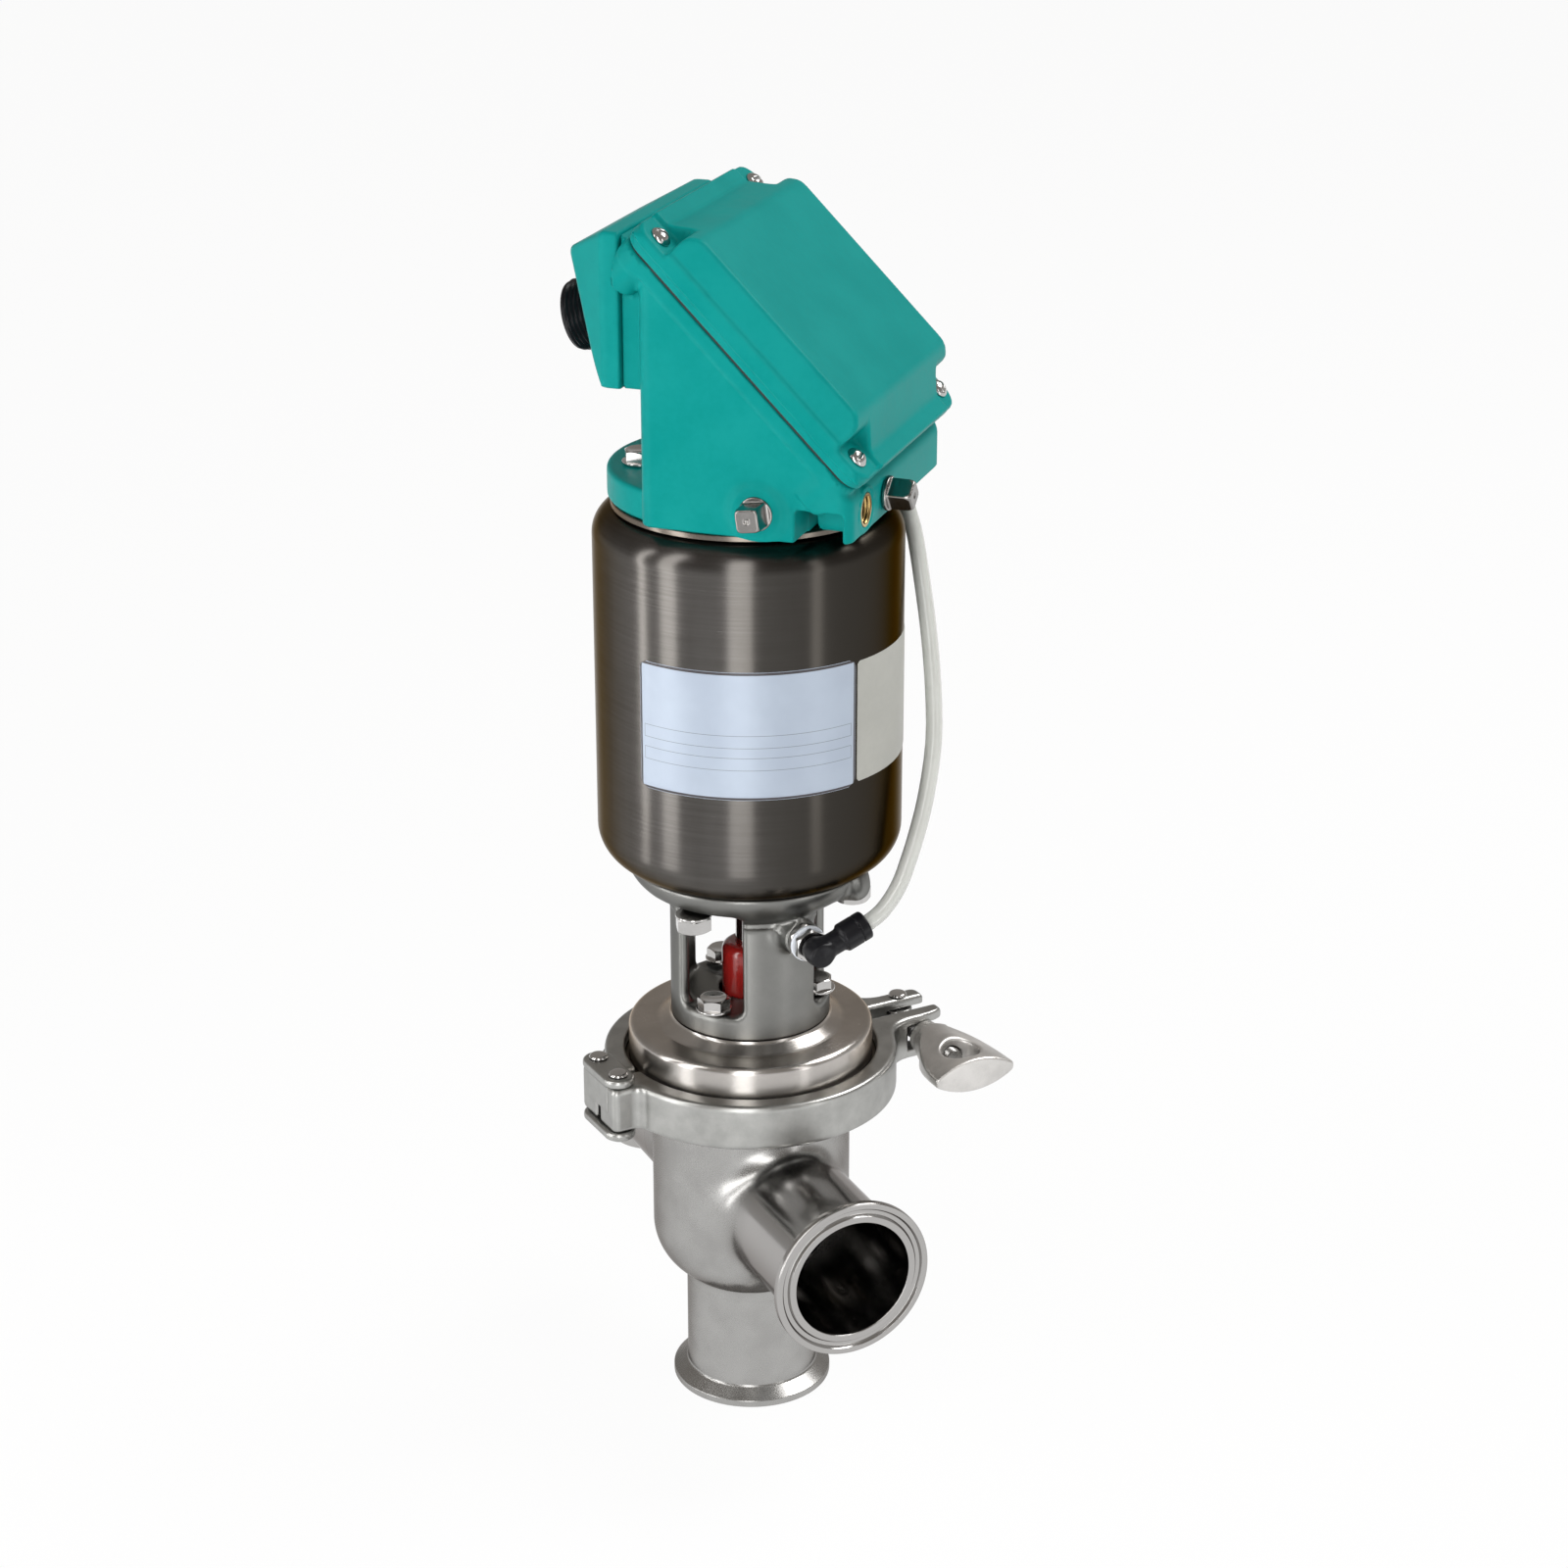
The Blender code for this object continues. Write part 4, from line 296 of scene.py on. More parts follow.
def castShape(field, low, high, step):
    # one vertex in each cell that the surface crosses, at the mean of its edge crossings; then three
    # steps p - f g/|g|^2 bring it onto the surface, and the slope g there is its normal
    axes = [np.arange(a - 1.5 * step, b + 2.5 * step, step) for a, b in zip(low, high)]
    open3 = np.meshgrid(*axes, indexing="ij", sparse=True)
    shape = tuple(len(a) for a in axes)
    value = np.ascontiguousarray(np.broadcast_to(field(*open3), shape))
    inside = value < 0
    cells = tuple(n - 1 for n in shape)

    def corner(array, shift):
        return array[tuple(slice(s, s + n) for s, n in zip(shift, cells))]

    shifts = [(i, j, k) for i in (0, 1) for j in (0, 1) for k in (0, 1)]
    count = sum(corner(inside, s).astype(np.int8) for s in shifts)
    mixed = (count > 0) & (count < 8)
    where = np.argwhere(mixed)
    number = np.full(cells, -1, np.int64)
    number[mixed] = np.arange(len(where))
    total = np.zeros((len(where), 3))
    hits = np.zeros(len(where))
    for axis in range(3):
        for first in shifts:
            if first[axis]:
                continue
            second = tuple(s + (n == axis) for n, s in enumerate(first))
            a, b = corner(value, first)[mixed], corner(value, second)[mixed]
            cross = (a < 0) != (b < 0)
            share = np.where(cross, a / np.where(cross, a - b, 1.0), 0.0)
            spot = np.tile(np.array(first, float), (len(where), 1))
            spot[:, axis] += share
            total += spot * cross[:, None]
            hits += cross
    origin = np.array([a[0] for a in axes])
    points = origin + (where + total / hits[:, None]) * step
    faces = []
    for axis in range(3):
        u, v = (axis + 1) % 3, (axis + 2) % 3
        lowCut = [slice(1, n - 1) for n in shape]
        highCut = list(lowCut)
        lowCut[axis], highCut[axis] = slice(0, shape[axis] - 1), slice(1, shape[axis])
        here, after = inside[tuple(lowCut)], inside[tuple(highCut)]
        spots = np.argwhere(here != after)
        outward = here[tuple(spots.T)]
        base = spots + 1
        base[:, axis] -= 1
        back = [np.zeros(3, int) for _ in range(4)]
        back[0][[u, v]] = 1
        back[1][v] = 1
        back[3][u] = 1
        quad = np.stack([number[tuple((base - b).T)] for b in back], -1)
        quad[~outward] = quad[~outward][:, ::-1]
        faces.append(quad)

    def slope(p):
        e = 0.02
        centre = field(*p.T)
        g = np.stack([field(*(p + e * np.eye(3)[n]).T) - field(*(p - e * np.eye(3)[n]).T) for n in range(3)], -1)
        return centre, g / (2 * e)

    for _ in range(3):
        f, g = slope(points)
        move = -f[:, None] * g / np.maximum((g ** 2).sum(-1), 1e-6)[:, None]
        size = np.linalg.norm(move, axis=-1, keepdims=True)
        points = points + move * np.minimum(1.0, 0.6 * step / np.maximum(size, 1e-9))
    g = slope(points)[1]
    normals = g / np.maximum(np.linalg.norm(g, axis=-1, keepdims=True), 1e-9)
    return points, np.concatenate(faces), normals


def cast(name, field, low, high, step, look, frameAt=None, **rest):
    points, faces, normals = castShape(field, low, high, step)
    if frameAt is not None:
        points = points @ frameAt[0].T + frameAt[1]
        normals = normals @ frameAt[0].T
    return makePiece(name, points, faces.tolist(), look, normals=normals, **rest)


finishes = {}


def metalFinish(name, colour, rough, mottle=0.10, mottleSize=14.0, mottleStretch=(1.0, 1.0, 1.0), grain=0.06,
                grainSize=0.35, stretch=(1.0, 1.0, 1.0), bump=0.10, bumpSize=0.4, aniso=0.0, edge=(1.0, 1.0, 1.0)):
    # base colour x (1 + mottle x cloud), roughness + grain x fine noise, fine noise as bump; edge tints grazing light
    made = Finish(name)
    cloud = made.noise(mottleSize, mottleStretch, detail=4.0) - 0.5
    fine = made.noise(grainSize, stretch, detail=2.0)
    dark = tuple(c * (1.0 - 1.6 * mottle) for c in colour)
    light = tuple(min(1.0, c * (1.0 + 1.6 * mottle)) for c in colour)
    tone = (cloud * 1.6 + (fine - 0.5) * 0.5 + 0.5)
    ink = made.mix(tone.between(0.05, 0.95), dark, light)
    finishes[name] = made.put(Base_Color=ink, Metallic=1.0,
                              Roughness=rough + (fine - 0.5) * grain * 2 + cloud * grain * 1.5,
                              Anisotropic=aniso, Anisotropic_Rotation=0.25 if aniso else 0.0, Specular_Tint=edge,
                              Normal=made.bump(made.noise(bumpSize, stretch, detail=2.0), bump, 0.05))


def plasticFinish(name, slot, colour, rough, peel=0.15, peelSize=1.2, tint=0.06, coat=0.0, drift=0.12, **constants):
    # colour drifting by tint over large patches, with a shallow moulded or sprayed unevenness as bump
    made = Finish(name)
    cloud = made.noise(22.0, detail=3.0)
    dust = made.noise(2.5, detail=4.0)
    dark = tuple(c * (1.0 - tint) for c in colour)
    light = tuple(min(1.0, c * (1.0 + tint) + 0.004) for c in colour)
    ink = made.mix((cloud * 0.7 + dust * 0.3).between(0.3, 0.7), dark, light)
    values = dict(Base_Color=ink, Roughness=rough + (dust - 0.5) * drift + (cloud - 0.5) * drift,
                  Normal=made.bump(made.noise(peelSize, detail=2.0), peel, 0.08), Coat_Weight=coat)
    values.update(constants)
    finishes[name] = made.put(**values)


def makeFinishes():
    metalFinish("satinSteel", (0.40, 0.395, 0.385), 0.27, mottle=0.05, bump=0.05)
    metalFinish("polishedSteel", (0.44, 0.43, 0.42), 0.16, mottle=0.04, grain=0.03, bump=0.02)
    metalFinish("turnedSteel", (0.50, 0.475, 0.45), 0.24, mottle=0.05, stretch=(1, 1, 3), bump=0.04,
                aniso=0.7, edge=(0.7, 0.6, 0.5))
    metalFinish("darkSteel", (0.16, 0.14, 0.12), 0.26, mottle=0.05, aniso=0.6, edge=(0.7, 0.6, 0.5))
    metalFinish("plugSteel", (0.27, 0.26, 0.25), 0.20, mottle=0.08, grain=0.05, bump=0.05)
    shellFinish()
    metalFinish("castSteel", (0.42, 0.42, 0.405), 0.32, mottle=0.07, mottleSize=7.0,
                grain=0.06, bump=0.16, bumpSize=0.5, edge=(0.7, 0.7, 0.7))
    metalFinish("yokeSteel", (0.235, 0.235, 0.225), 0.36, mottle=0.04, mottleSize=9.0,
                grain=0.05, stretch=(1, 1, 0.3), bump=0.08, bumpSize=0.5, aniso=0.4, edge=(0.5, 0.5, 0.5))
    bodyFinish()
    metalFinish("nutSteel", (0.66, 0.645, 0.625), 0.42, mottle=0.10, bump=0.12)
    metalFinish("brightSteel", (0.52, 0.51, 0.50), 0.13, mottle=0.05, grain=0.05, bump=0.03)
    metalFinish("wireSteel", (0.22, 0.22, 0.23), 0.38)
    metalFinish("bushBronze", (0.45, 0.33, 0.18), 0.36)
    metalFinish("brassThread", (0.55, 0.38, 0.15), 0.24)
    plasticFinish("tealEnamel", "green_paint", (0.0, 0.265, 0.249), 0.40, peel=0.10, peelSize=2.2, tint=0.05,
                  Specular_IOR_Level=0.06)
    plasticFinish("redEnamel", "red_enamel", (0.30, 0.012, 0.010), 0.16, peel=0.06, peelSize=4.0, coat=0.5)
    plasticFinish("blackRubber", "black_rubber", (0.012, 0.012, 0.013), 0.62, peel=0.25, peelSize=0.6)
    plasticFinish("blackPlastic", "black_plastic", (0.006, 0.006, 0.008), 0.30, peel=0.01, peelSize=4.0,
                  drift=0.03, Specular_IOR_Level=0.22)
    plasticFinish("whiteSeal", "white_seal", (0.74, 0.78, 0.84), 0.42, peel=0.10)
    plasticFinish("greyPlastic", "grey_plastic", (0.30, 0.31, 0.32), 0.50)
    plasticFinish("milkyTube", "milky_tube", (0.62, 0.635, 0.605), 0.20, peel=0.03, peelSize=6.0,
                  tint=0.03, coat=0.4)
    labelFinish()
    plasticFinish("creamTape", "grey_plastic", (0.41, 0.415, 0.385), 0.45, peel=0.35, peelSize=9.0, tint=0.05)


def shellFinish():
    # steel brushed round the cylinder, with painted shade: its base colour turns near-black brown across one side
    made = Finish("shellSteel")
    x, y, z = made.axes()
    # painted shade: side runs from 0 to 1 across one side of the cylinder and darkens the base colour there
    side = (x * 0.713 - y * 0.701).between(5.0, 56.0)
    cloud = made.noise(24.0, (1.0, 1.0, 0.22), detail=4.0) - 0.5
    lines = made.noise(1.6, (0.05, 0.05, 2.4), detail=3.0) - 0.5
    plain = made.mix((cloud * 1.4 + lines * 0.9 + 0.5).between(0.05, 0.95), (0.080, 0.075, 0.069),
                     (0.112, 0.106, 0.100))
    # painted shade: where side is 1 the base colour becomes near-black brown (0.038, 0.034, 0.029)
    finishes["shellSteel"] = made.put(Base_Color=made.mix(side, plain, (0.038, 0.034, 0.029)), Metallic=1.0,
                                      Roughness=lines * 0.10 + cloud * 0.07 + 0.24, Anisotropic=0.75,
                                      Anisotropic_Rotation=0.25, Specular_Tint=(0.46, 0.40, 0.33),
                                      Normal=made.bump(made.noise(1.2, (0.05, 0.05, 5.0), detail=2.0), 0.06, 0.05))


def bodyFinish():
    # satin bowl that turns into polished tube where |y| goes from 40 to 52 mm
    made = Finish("bodySteel")
    x, y, z = made.axes()
    polish = abs(y).between(40.0, 52.0)
    cloud = made.noise(12.0, detail=4.0) - 0.5
    fine = made.noise(0.35, detail=2.0) - 0.5
    satin = made.mix((cloud * 1.6 + fine * 0.5 + 0.5).between(0.05, 0.95), (0.365, 0.36, 0.35), (0.43, 0.425, 0.415))
    finishes["bodySteel"] = made.put(Base_Color=made.mix(polish, satin, (0.44, 0.43, 0.42)), Metallic=1.0,
                                     Roughness=fine * 0.1 + cloud * 0.08 + 0.27 - polish * 0.12,
                                     Specular_Tint=(0.45, 0.43, 0.42),
                                     Normal=made.bump(made.noise(0.4, detail=2.0), 0.04, 0.05))


def labelFinish():
    # pale foil; the angle round the cylinder and the height give a thin dark border and two empty boxes
    made = Finish("labelFoil")
    x, y, z = made.axes()
    angle = made.node("ShaderNodeMath", {"operation": "ARCTAN2"}, (x, y * -1.0))
    across = (angle - radians(-label["middle"])) * label["radius"]
    up = z - (label["low"] + label["high"]) / 2
    halfWidth = label["radius"] * radians(label["half"])
    halfHeight = (label["high"] - label["low"]) / 2

    def ring(cx, cz, a, b, line):
        # 1 on the outline of a rectangle, line mm wide
        edge = made.node("ShaderNodeMath", {"operation": "MAXIMUM"},
                         (abs(across - cx) - a, abs(up - cz) - b))
        return (abs(edge) * -1.0 + line).between(0.0, 0.08)

    inks = [ring(0, 0, halfWidth - 0.6, halfHeight - 0.6, 0.5)]
    inks += [ring(0, level, halfWidth - 2.3, 2.4, 0.14) * 0.6 for level in label["boxes"]]
    ink = inks[0] + inks[1] + inks[2]
    cloud = made.noise(18.0)
    pale = made.mix(cloud.between(0.3, 0.7), (0.40, 0.465, 0.565), (0.43, 0.50, 0.60))
    colour = made.mix(ink.between(0.0, 1.0), pale, (0.05, 0.045, 0.05))
    finishes["labelFoil"] = made.put(Base_Color=colour, Metallic=0.1, Roughness=0.36 + (cloud - 0.5) * 0.15,
                                     Normal=made.bump(made.noise(7.0), 0.12, 0.1))


# label on the cylinder: middle of the label in degrees right of the front port's direction
label = {"middle": 25.1, "half": 42.3, "low": 276.3, "high": 326.2, "radius": 58.9, "corner": 3.0,
         "boxes": (-2.0, -10.7)}
print("finishes")
makeFinishes()


hose = {"radius": 3.2, "tilt": 22.0, "centre": (4.0, -53.4, 209.5), "start": 21.8, "end": (64.07, 0.14, 374.2),
        "route": ((30.3, -53.2, 221.0), (35.2, -52.8, 226.0), (39.4, -52.0, 232.0), (43.2, -50.4, 239.0),
                  (47.5, -48.2, 247.5), (53.6, -44.0, 261.0), (60.0, -37.4, 280.0), (63.0, -30.4, 300.0),
                  (64.2, -23.4, 321.0), (65.0, -14.5, 342.0), (65.4, -7.5, 356.0))}


def makeHose():
    # Catmull-Rom curve through the route, its first and last stretch straight
    way = np.array((cos(radians(hose["tilt"])), 0.0, sin(radians(hose["tilt"]))))
    first = np.array(hose["centre"]) + hose["start"] * way
    last = np.array(hose["end"])
    route = np.array([first, first + 1.5 * way, *hose["route"], last - (0.0, 0.0, 5.0), last])
    a, b, c, d = (route[n:len(route) - 3 + n, None, :] for n in range(4))
    t = np.linspace(0.0, 1.0, 3, endpoint=False)[None, :, None]
    inner = 0.5 * (2 * b + (c - a) * t + (2 * a - 5 * b + 4 * c - d) * t ** 2 + (3 * b - a - 3 * c + d) * t ** 3)
    points = placed(np.concatenate([route[:1], inner.reshape(-1, 3), route[-2:]]))
    curve = bpy.data.curves.new("air_hose_tube", "CURVE")
    curve.dimensions = "3D"
    line = curve.splines.new("POLY")
    line.points.add(len(points) - 1)
    line.points.foreach_set("co", np.column_stack([points, np.ones(len(points))]).ravel())
    curve.bevel_depth = hose["radius"] * mm
    curve.bevel_resolution = 8
    curve.use_fill_caps = True
    curve.materials.append(finishes["milkyTube"])
    piece = bpy.data.objects.new("air_hose_tube", curve)
    bpy.context.scene.collection.objects.link(piece)
    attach(piece, "valve")
    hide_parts("air_hose")


print("hose")
makeHose()


port = {"bore": 23.75, "tube": 26.2, "ferrule": 32.0, "rim": 2.9, "slope": 3.6, "reach": 93.4, "height": 90.0,
        "grooveIn": 26.4, "grooveOut": 29.6, "grooveDepth": 1.3, "sideJoint": 50.0, "bottomJoint": 44.0}


def makePort(name, face, way, length):
    # bore, face with its gasket groove, rim and back bevel, turned about the port's own axis
    p = port
    lean = p["grooveDepth"] * 0.6
    over = 0.02         # the tube reaches 1.5 mm over the bowl's end, this much proud of it
    length += 1.5
    profile = bend((p["bore"] - over, length), (p["bore"] - over, 0.0, 0.5), (p["grooveIn"], 0.0, 0.25),
                   (p["grooveIn"] + lean, p["grooveDepth"], 0.4), (p["grooveOut"] - lean, p["grooveDepth"], 0.4),
                   (p["grooveOut"], 0.0, 0.25), (p["ferrule"], 0.0, 0.6), (p["ferrule"], p["rim"], 0.5),
                   (p["tube"] + over, p["rim"] + p["slope"], 1.6), (p["tube"] + over, length))
    points, faces = turned(profile, 160, frameFor(way, face))
    return makePiece(name + "_turned", points, faces, "bodySteel", stands=(name,))


bowl = {"flat": 15.5, "footHigh": 72.0, "foot": 24.0, "top": 139.25, "neck": 39.5, "cone": 45.5, "coneLow": 128.3,
        "rim": 52.5, "rimLow": 134.3, "wall": 2.5, "floorHigh": 73.9, "seatHigh": 57.0, "taper": 0.364}


def bodyField(x, y, z):
    # bowl with a rounded foot and a tapered rim, bottom tube and cross tube, hollowed by the same shapes
    r = np.hypot(x, y)
    b = bowl
    past = z - b["top"]
    foot = np.hypot(np.maximum(r - b["flat"], 0.0), np.maximum(b["footHigh"] - z, 0.0)) - b["foot"]
    drum = np.maximum(foot + np.minimum(np.maximum(r - b["flat"], b["footHigh"] - z), 0.0), past)
    cone = np.maximum(np.maximum(r - b["cone"], (b["coneLow"] + r - b["neck"] - z) * 0.707), past)
    rim = np.maximum(np.maximum(r - b["rim"], (b["rimLow"] + (r - b["cone"]) * b["taper"] - z) * 0.94), past)
    body = merge(merge(drum, cone, 2.5), rim, 1.2)
    tube = np.maximum(r - port["tube"], z - 70.0)
    body = merge(body, tube, 2.0)
    cross = np.hypot(x, z - port["height"])
    ends = np.abs(y) - port["sideJoint"]
    body = merge(body, cross - port["tube"], 9.0)
    inner = np.hypot(np.maximum(r - b["flat"], 0.0), np.maximum(b["floorHigh"] - z, 0.0)) - (b["foot"] - b["wall"])
    seat = np.maximum(r - port["bore"] - np.maximum(z - 52.0, 0.0), z - b["seatHigh"])
    space = np.minimum(np.minimum(inner, seat), cross - port["bore"])
    body = carve(body, space, 0.9)
    return np.maximum(np.maximum(body, ends), np.maximum(port["bottomJoint"] - z, past))


def makeBody():
    cast("valve_bowl", bodyField, (-52.5, -52.5, 44.0), (52.5, 52.5, 139.3), 1.15, "bodySteel",
         stands=("valve_body",))
    side = port["reach"] - port["sideJoint"]
    makePort("bottom_port_tube", (0.0, 0.0, 0.0), (0.0, 0.0, 1.0), port["bottomJoint"])
    makePort("front_port_tube", (0.0, -port["reach"], port["height"]), (0.0, 1.0, 0.0), side)
    makePort("rear_port_tube", (0.0, port["reach"], port["height"]), (0.0, -1.0, 0.0), side)


def makeBonnet():
    profile = bend((8.9, 124.0), (15.0, 124.0), (15.0, 147.0, 2.0), (32.0, 147.0, 2.0), (34.2, 137.85),
                   (36.7, 137.85),
                   (36.7, 140.85), (52.5, 140.85), (52.5, 143.25, 0.4), (48.2, 144.8, 0.8), (48.2, 160.6, 2.6),
                   (37.2, 160.6, 0.5), (36.2, 160.9, 3.0), (31.9, 163.2, 2.0), (31.3, 164.2), (11.9, 164.2),
                   (11.9, 167.0), (8.9, 167.0))
    makePiece("bonnet_turned", *turned(profile, 192), "turnedSteel", stands=("bonnet",))


clamp = {"turn": 3.5, "middle": 140.05, "half": 9.25, "radius": 58.0, "lip": 50.0, "groove": 53.2, "ear": 82.5,
         "earFace": 12.3, "hingeReach": 67.5, "pinX": -62.6, "pinY": 8.7, "boltX": 72.5,
         "boltY": 8.4, "slotStart": 65.7, "slotHalf": 4.8}


def clampField(side):
    c = clamp

    def field(x, y, z):
        # ring, ear and hinge lug in plan, flat top and bottom, V groove inside and a slot for the bolt
        y = y * side
        r = np.hypot(x, y)
        up = np.abs(z - c["middle"])
        ear = meet(x - c["ear"], y - c["earFace"], 3.0)
        ear = np.maximum(ear, 40.0 - x)
        lug = meet(-c["hingeReach"] - x, y - 14.5, 3.0)
        lug = np.maximum(lug, x + 45.0)
        plan = merge(merge(r - c["radius"], ear, 11.0), lug, 4.0)
        gapLine = np.clip(1.5 + (x + 43.5) / 87.0 * 3.0, 1.5, 4.5)
        plan = meet(plan, gapLine - y, 1.2)
        body = meet(plan, up - c["half"], 2.2)
        taper = (up - (3.52 - (r - 52.5) * 0.364)) * 0.94
        space = np.minimum(r - c["lip"], np.maximum(r - c["groove"], taper))
        body = carve(body, space, 1.2)
        slot = np.maximum(up - c["slotHalf"], c["slotStart"] - x)
        body = carve(body, slot, 1.2)
        if side < 0:
            reach = np.hypot(x - c["boltX"], -y - c["boltY"]) - 20.7
            body = np.where(x > c["boltX"], meet(body, reach, 1.2), body)
        return body
    return field


def makeClamp():
    c = clamp
    turn = (turnFrame(c["turn"]), np.zeros(3))
    for name, side in (("clamp_front_half", -1), ("clamp_rear_half", 1)):
        low = (-68.0, -58.5, 130.5) if side < 0 else (-68.0, 1.0, 130.5)
        high = (83.0, -1.0, 149.5) if side < 0 else (83.0, 58.5, 149.5)
        cast(name + "_cast", clampField(side), low, high, 0.85, "castSteel", turn, stands=(name,))
    for name, low in (("hinge_link_top", 149.6), ("hinge_link_bottom", 126.9)):
        top = name.endswith("top")

        def linkField(x, y, z, low=low, top=top):
            # plate round the two pins, with an outer web hanging from the top one
            reach = np.hypot(x - c["pinX"], np.maximum(np.abs(y) - c["pinY"], 0.0)) - 6.25
            plate = meet(reach, np.abs(z - low - 1.8) - 1.8, 1.6)
            if top:
                web = boxField(x, y, z, (-67.8, -9.0, 138.0), (-66.7, 9.0, 152.5), 0.5)
                plate = merge(plate, web, 1.5)
            return plate
        cast(name + "_cast", linkField, (-69.3, -15.2, 137.5 if top else low), (-56.0, 15.2, low + 3.7), 0.5,
             "castSteel", turn, stands=(name,))
    for name, x, y, low, high in (("hinge_pin_front", c["pinX"], -c["pinY"], 126.6, 153.5),
                                  ("hinge_pin_rear", c["pinX"], c["pinY"], 126.6, 153.5),
                                  ("swing_bolt_pin", c["boltX"], c["boltY"], 130.5, 149.6)):
        profile = bend((0.0, low - 1.2), (3.2, low - 1.1, 1.0), (4.0, low, 0.2), (2.5, low), (2.5, high),
                       (4.0, high, 0.2), (3.2, high + 1.1, 1.0), (0.0, high + 1.2))
        spot = turnFrame(c["turn"]) @ np.array((x, y, 0.0))
        makePiece(name + "_turned", *turned(profile, 40, (np.eye(3), spot)), "brightSteel", stands=(name,))


def makeSwingBolt():
    # ring round the pin, and a threaded shank out of it
    c = clamp
    spin = turnFrame(c["turn"])
    pin = np.array((c["boltX"], c["boltY"], c["middle"]))
    ring = bend((2.8, 0.0), (2.8, -4.4, 0.3), (6.0, -4.4, 0.8), (6.0, 4.4, 0.8), (2.8, 4.4, 0.3), (2.8, 0.0))[:-1]
    points, faces = turned(ring, 64, (spin, spin @ pin))
    way = spin @ np.array((0.0, -1.0, 0.0))
    shank, more = threaded(4.0, 0.55, 1.25, 4.2, c["boltY"] + 37.0, 0.0, 40, frameAt=frameFor(way, spin @ pin))
    joined = faces + [[a + len(points) for a in face] for face in more]
    makePiece("swing_bolt_threaded", np.concatenate([points, shank]), joined, "satinSteel", "swing_bolt",
              stands=("swing_bolt",))


nut = {"boss": 6.8, "length": 40.5, "span": 18.0, "thick": 7.0, "tip": 1.5, "hole": 7.5, "holeAt": 28.5}


def nutField(x, y, z):
    # leaf in plan, lens in section, round boss, and a hole straight through
    n = nut
    s = -y
    share = np.clip((s - 9.0) / 31.5, 0.0, 1.0) ** 0.8
    width = 6.1 + 11.9 * np.sin(share * pi / 2)
    plan = (np.abs(x) - width) * 0.8
    rise = n["thick"] - n["tip"]
    sphere = (n["span"] ** 2 + rise ** 2) / (2 * rise)
    lens = np.hypot(np.abs(z) + sphere - n["thick"], x) - sphere
    ends = np.maximum(s - n["length"], 6.5 - s)
    wing = meet(meet(plan, lens, 1.0), ends, 1.4)
    boss = rodField(x, z, s, n["boss"], 0.0, n["holeAt"], 1.0)
    hole = np.hypot(x, s - n["holeAt"]) - n["hole"]
    return carve(carve(merge(wing, boss, 4.0), hole, 2.0), np.maximum(np.hypot(x, z) - 4.3, s - 25.0), 0.5)


def makeWingNut():
    c = clamp
    spin = turnFrame(c["turn"])
    spot = spin @ np.array((c["boltX"], -12.6, c["middle"]))
    cast("wing_nut_cast", nutField, (-18.2, -40.6, -7.1), (18.2, 0.1, 7.1), 0.6, "nutSteel", (spin, spot),
         body="wing_nut", stands=("wing_nut",))


boss = {"x": 4.0, "z": 209.5}       # the air boss stands out of the yoke along -y here
yoke = {"radius": 31.3, "inner": 26.7, "low": 164.5, "top": 231.0,
        "flareFrom": 214.4, "cap": 47.6, "windows": (213, 327, 90), "half": 27.0, "corner": 4.0}


def yokeField(x, y, z):
    # lantern of revolution, flared into its cap; three windows, an air boss and a lug
    k = yoke
    r = np.hypot(x, y)
    share = np.clip((z - k["flareFrom"]) / (k["top"] - k["flareFrom"]), 0.0, 1.0)
    flare = np.maximum((r - 31.0 - (k["cap"] - 31.0) * (1.0 - (1.0 - share) ** 2)) * 0.6, k["flareFrom"] - 1.0 - z)
    body = merge(r - k["radius"], flare, 4.0)
    body = meet(meet(body, z - k["top"], 1.2), k["low"] - z, 0.8)
    space = meet(r - k["inner"], np.abs(z - 197.3) - 23.4, 3.0)
    body = carve(body, space, 0.8)
    angle = np.degrees(np.arctan2(y, x))
    for middle in k["windows"]:
        off = np.abs((angle - middle + 180.0) % 360.0 - 180.0)
        s = (np.radians(off - k["half"])) * np.minimum(r, 40.0) + k["corner"]
        h = np.abs(z - 196.9) - 23.4 + k["corner"]
        window = np.hypot(np.maximum(s, 0.0), np.maximum(h, 0.0)) + np.minimum(np.maximum(s, h), 0.0) - k["corner"]
        window = np.maximum(window, 14.0 - r)
        body = carve(body, window, 2.4)
    body = carve(body, r - 12.2 + np.maximum(z - 180.0, 0.0), 0.8)
    body = carve(body, r - 9.0 + np.maximum(200.0 - z, 0.0), 0.8)
    body = merge(body, rodField(x - boss["x"], z - boss["z"], y, 7.2, -40.0, -28.0, 1.0), 5.0)
    lug = turnFrame(308).T
    a = lug[0, 0] * x + lug[0, 1] * y
    b = lug[1, 0] * x + lug[1, 1] * y
    web = boxField(a, b, z, (30.0, -3.2, 222.5), (48.0, 3.2, 230.8), 1.0)
    return merge(merge(body, web, 4.0), rodField(b, z - 225.2, a, 4.4, 34.0, 50.4, 4.2), 5.0)


def makeYoke():
    cast("yoke_cast", yokeField, (-47.5, -47.5, 164.5), (47.5, 47.5, 231.0), 0.9, "yokeSteel", stands=("yoke",))


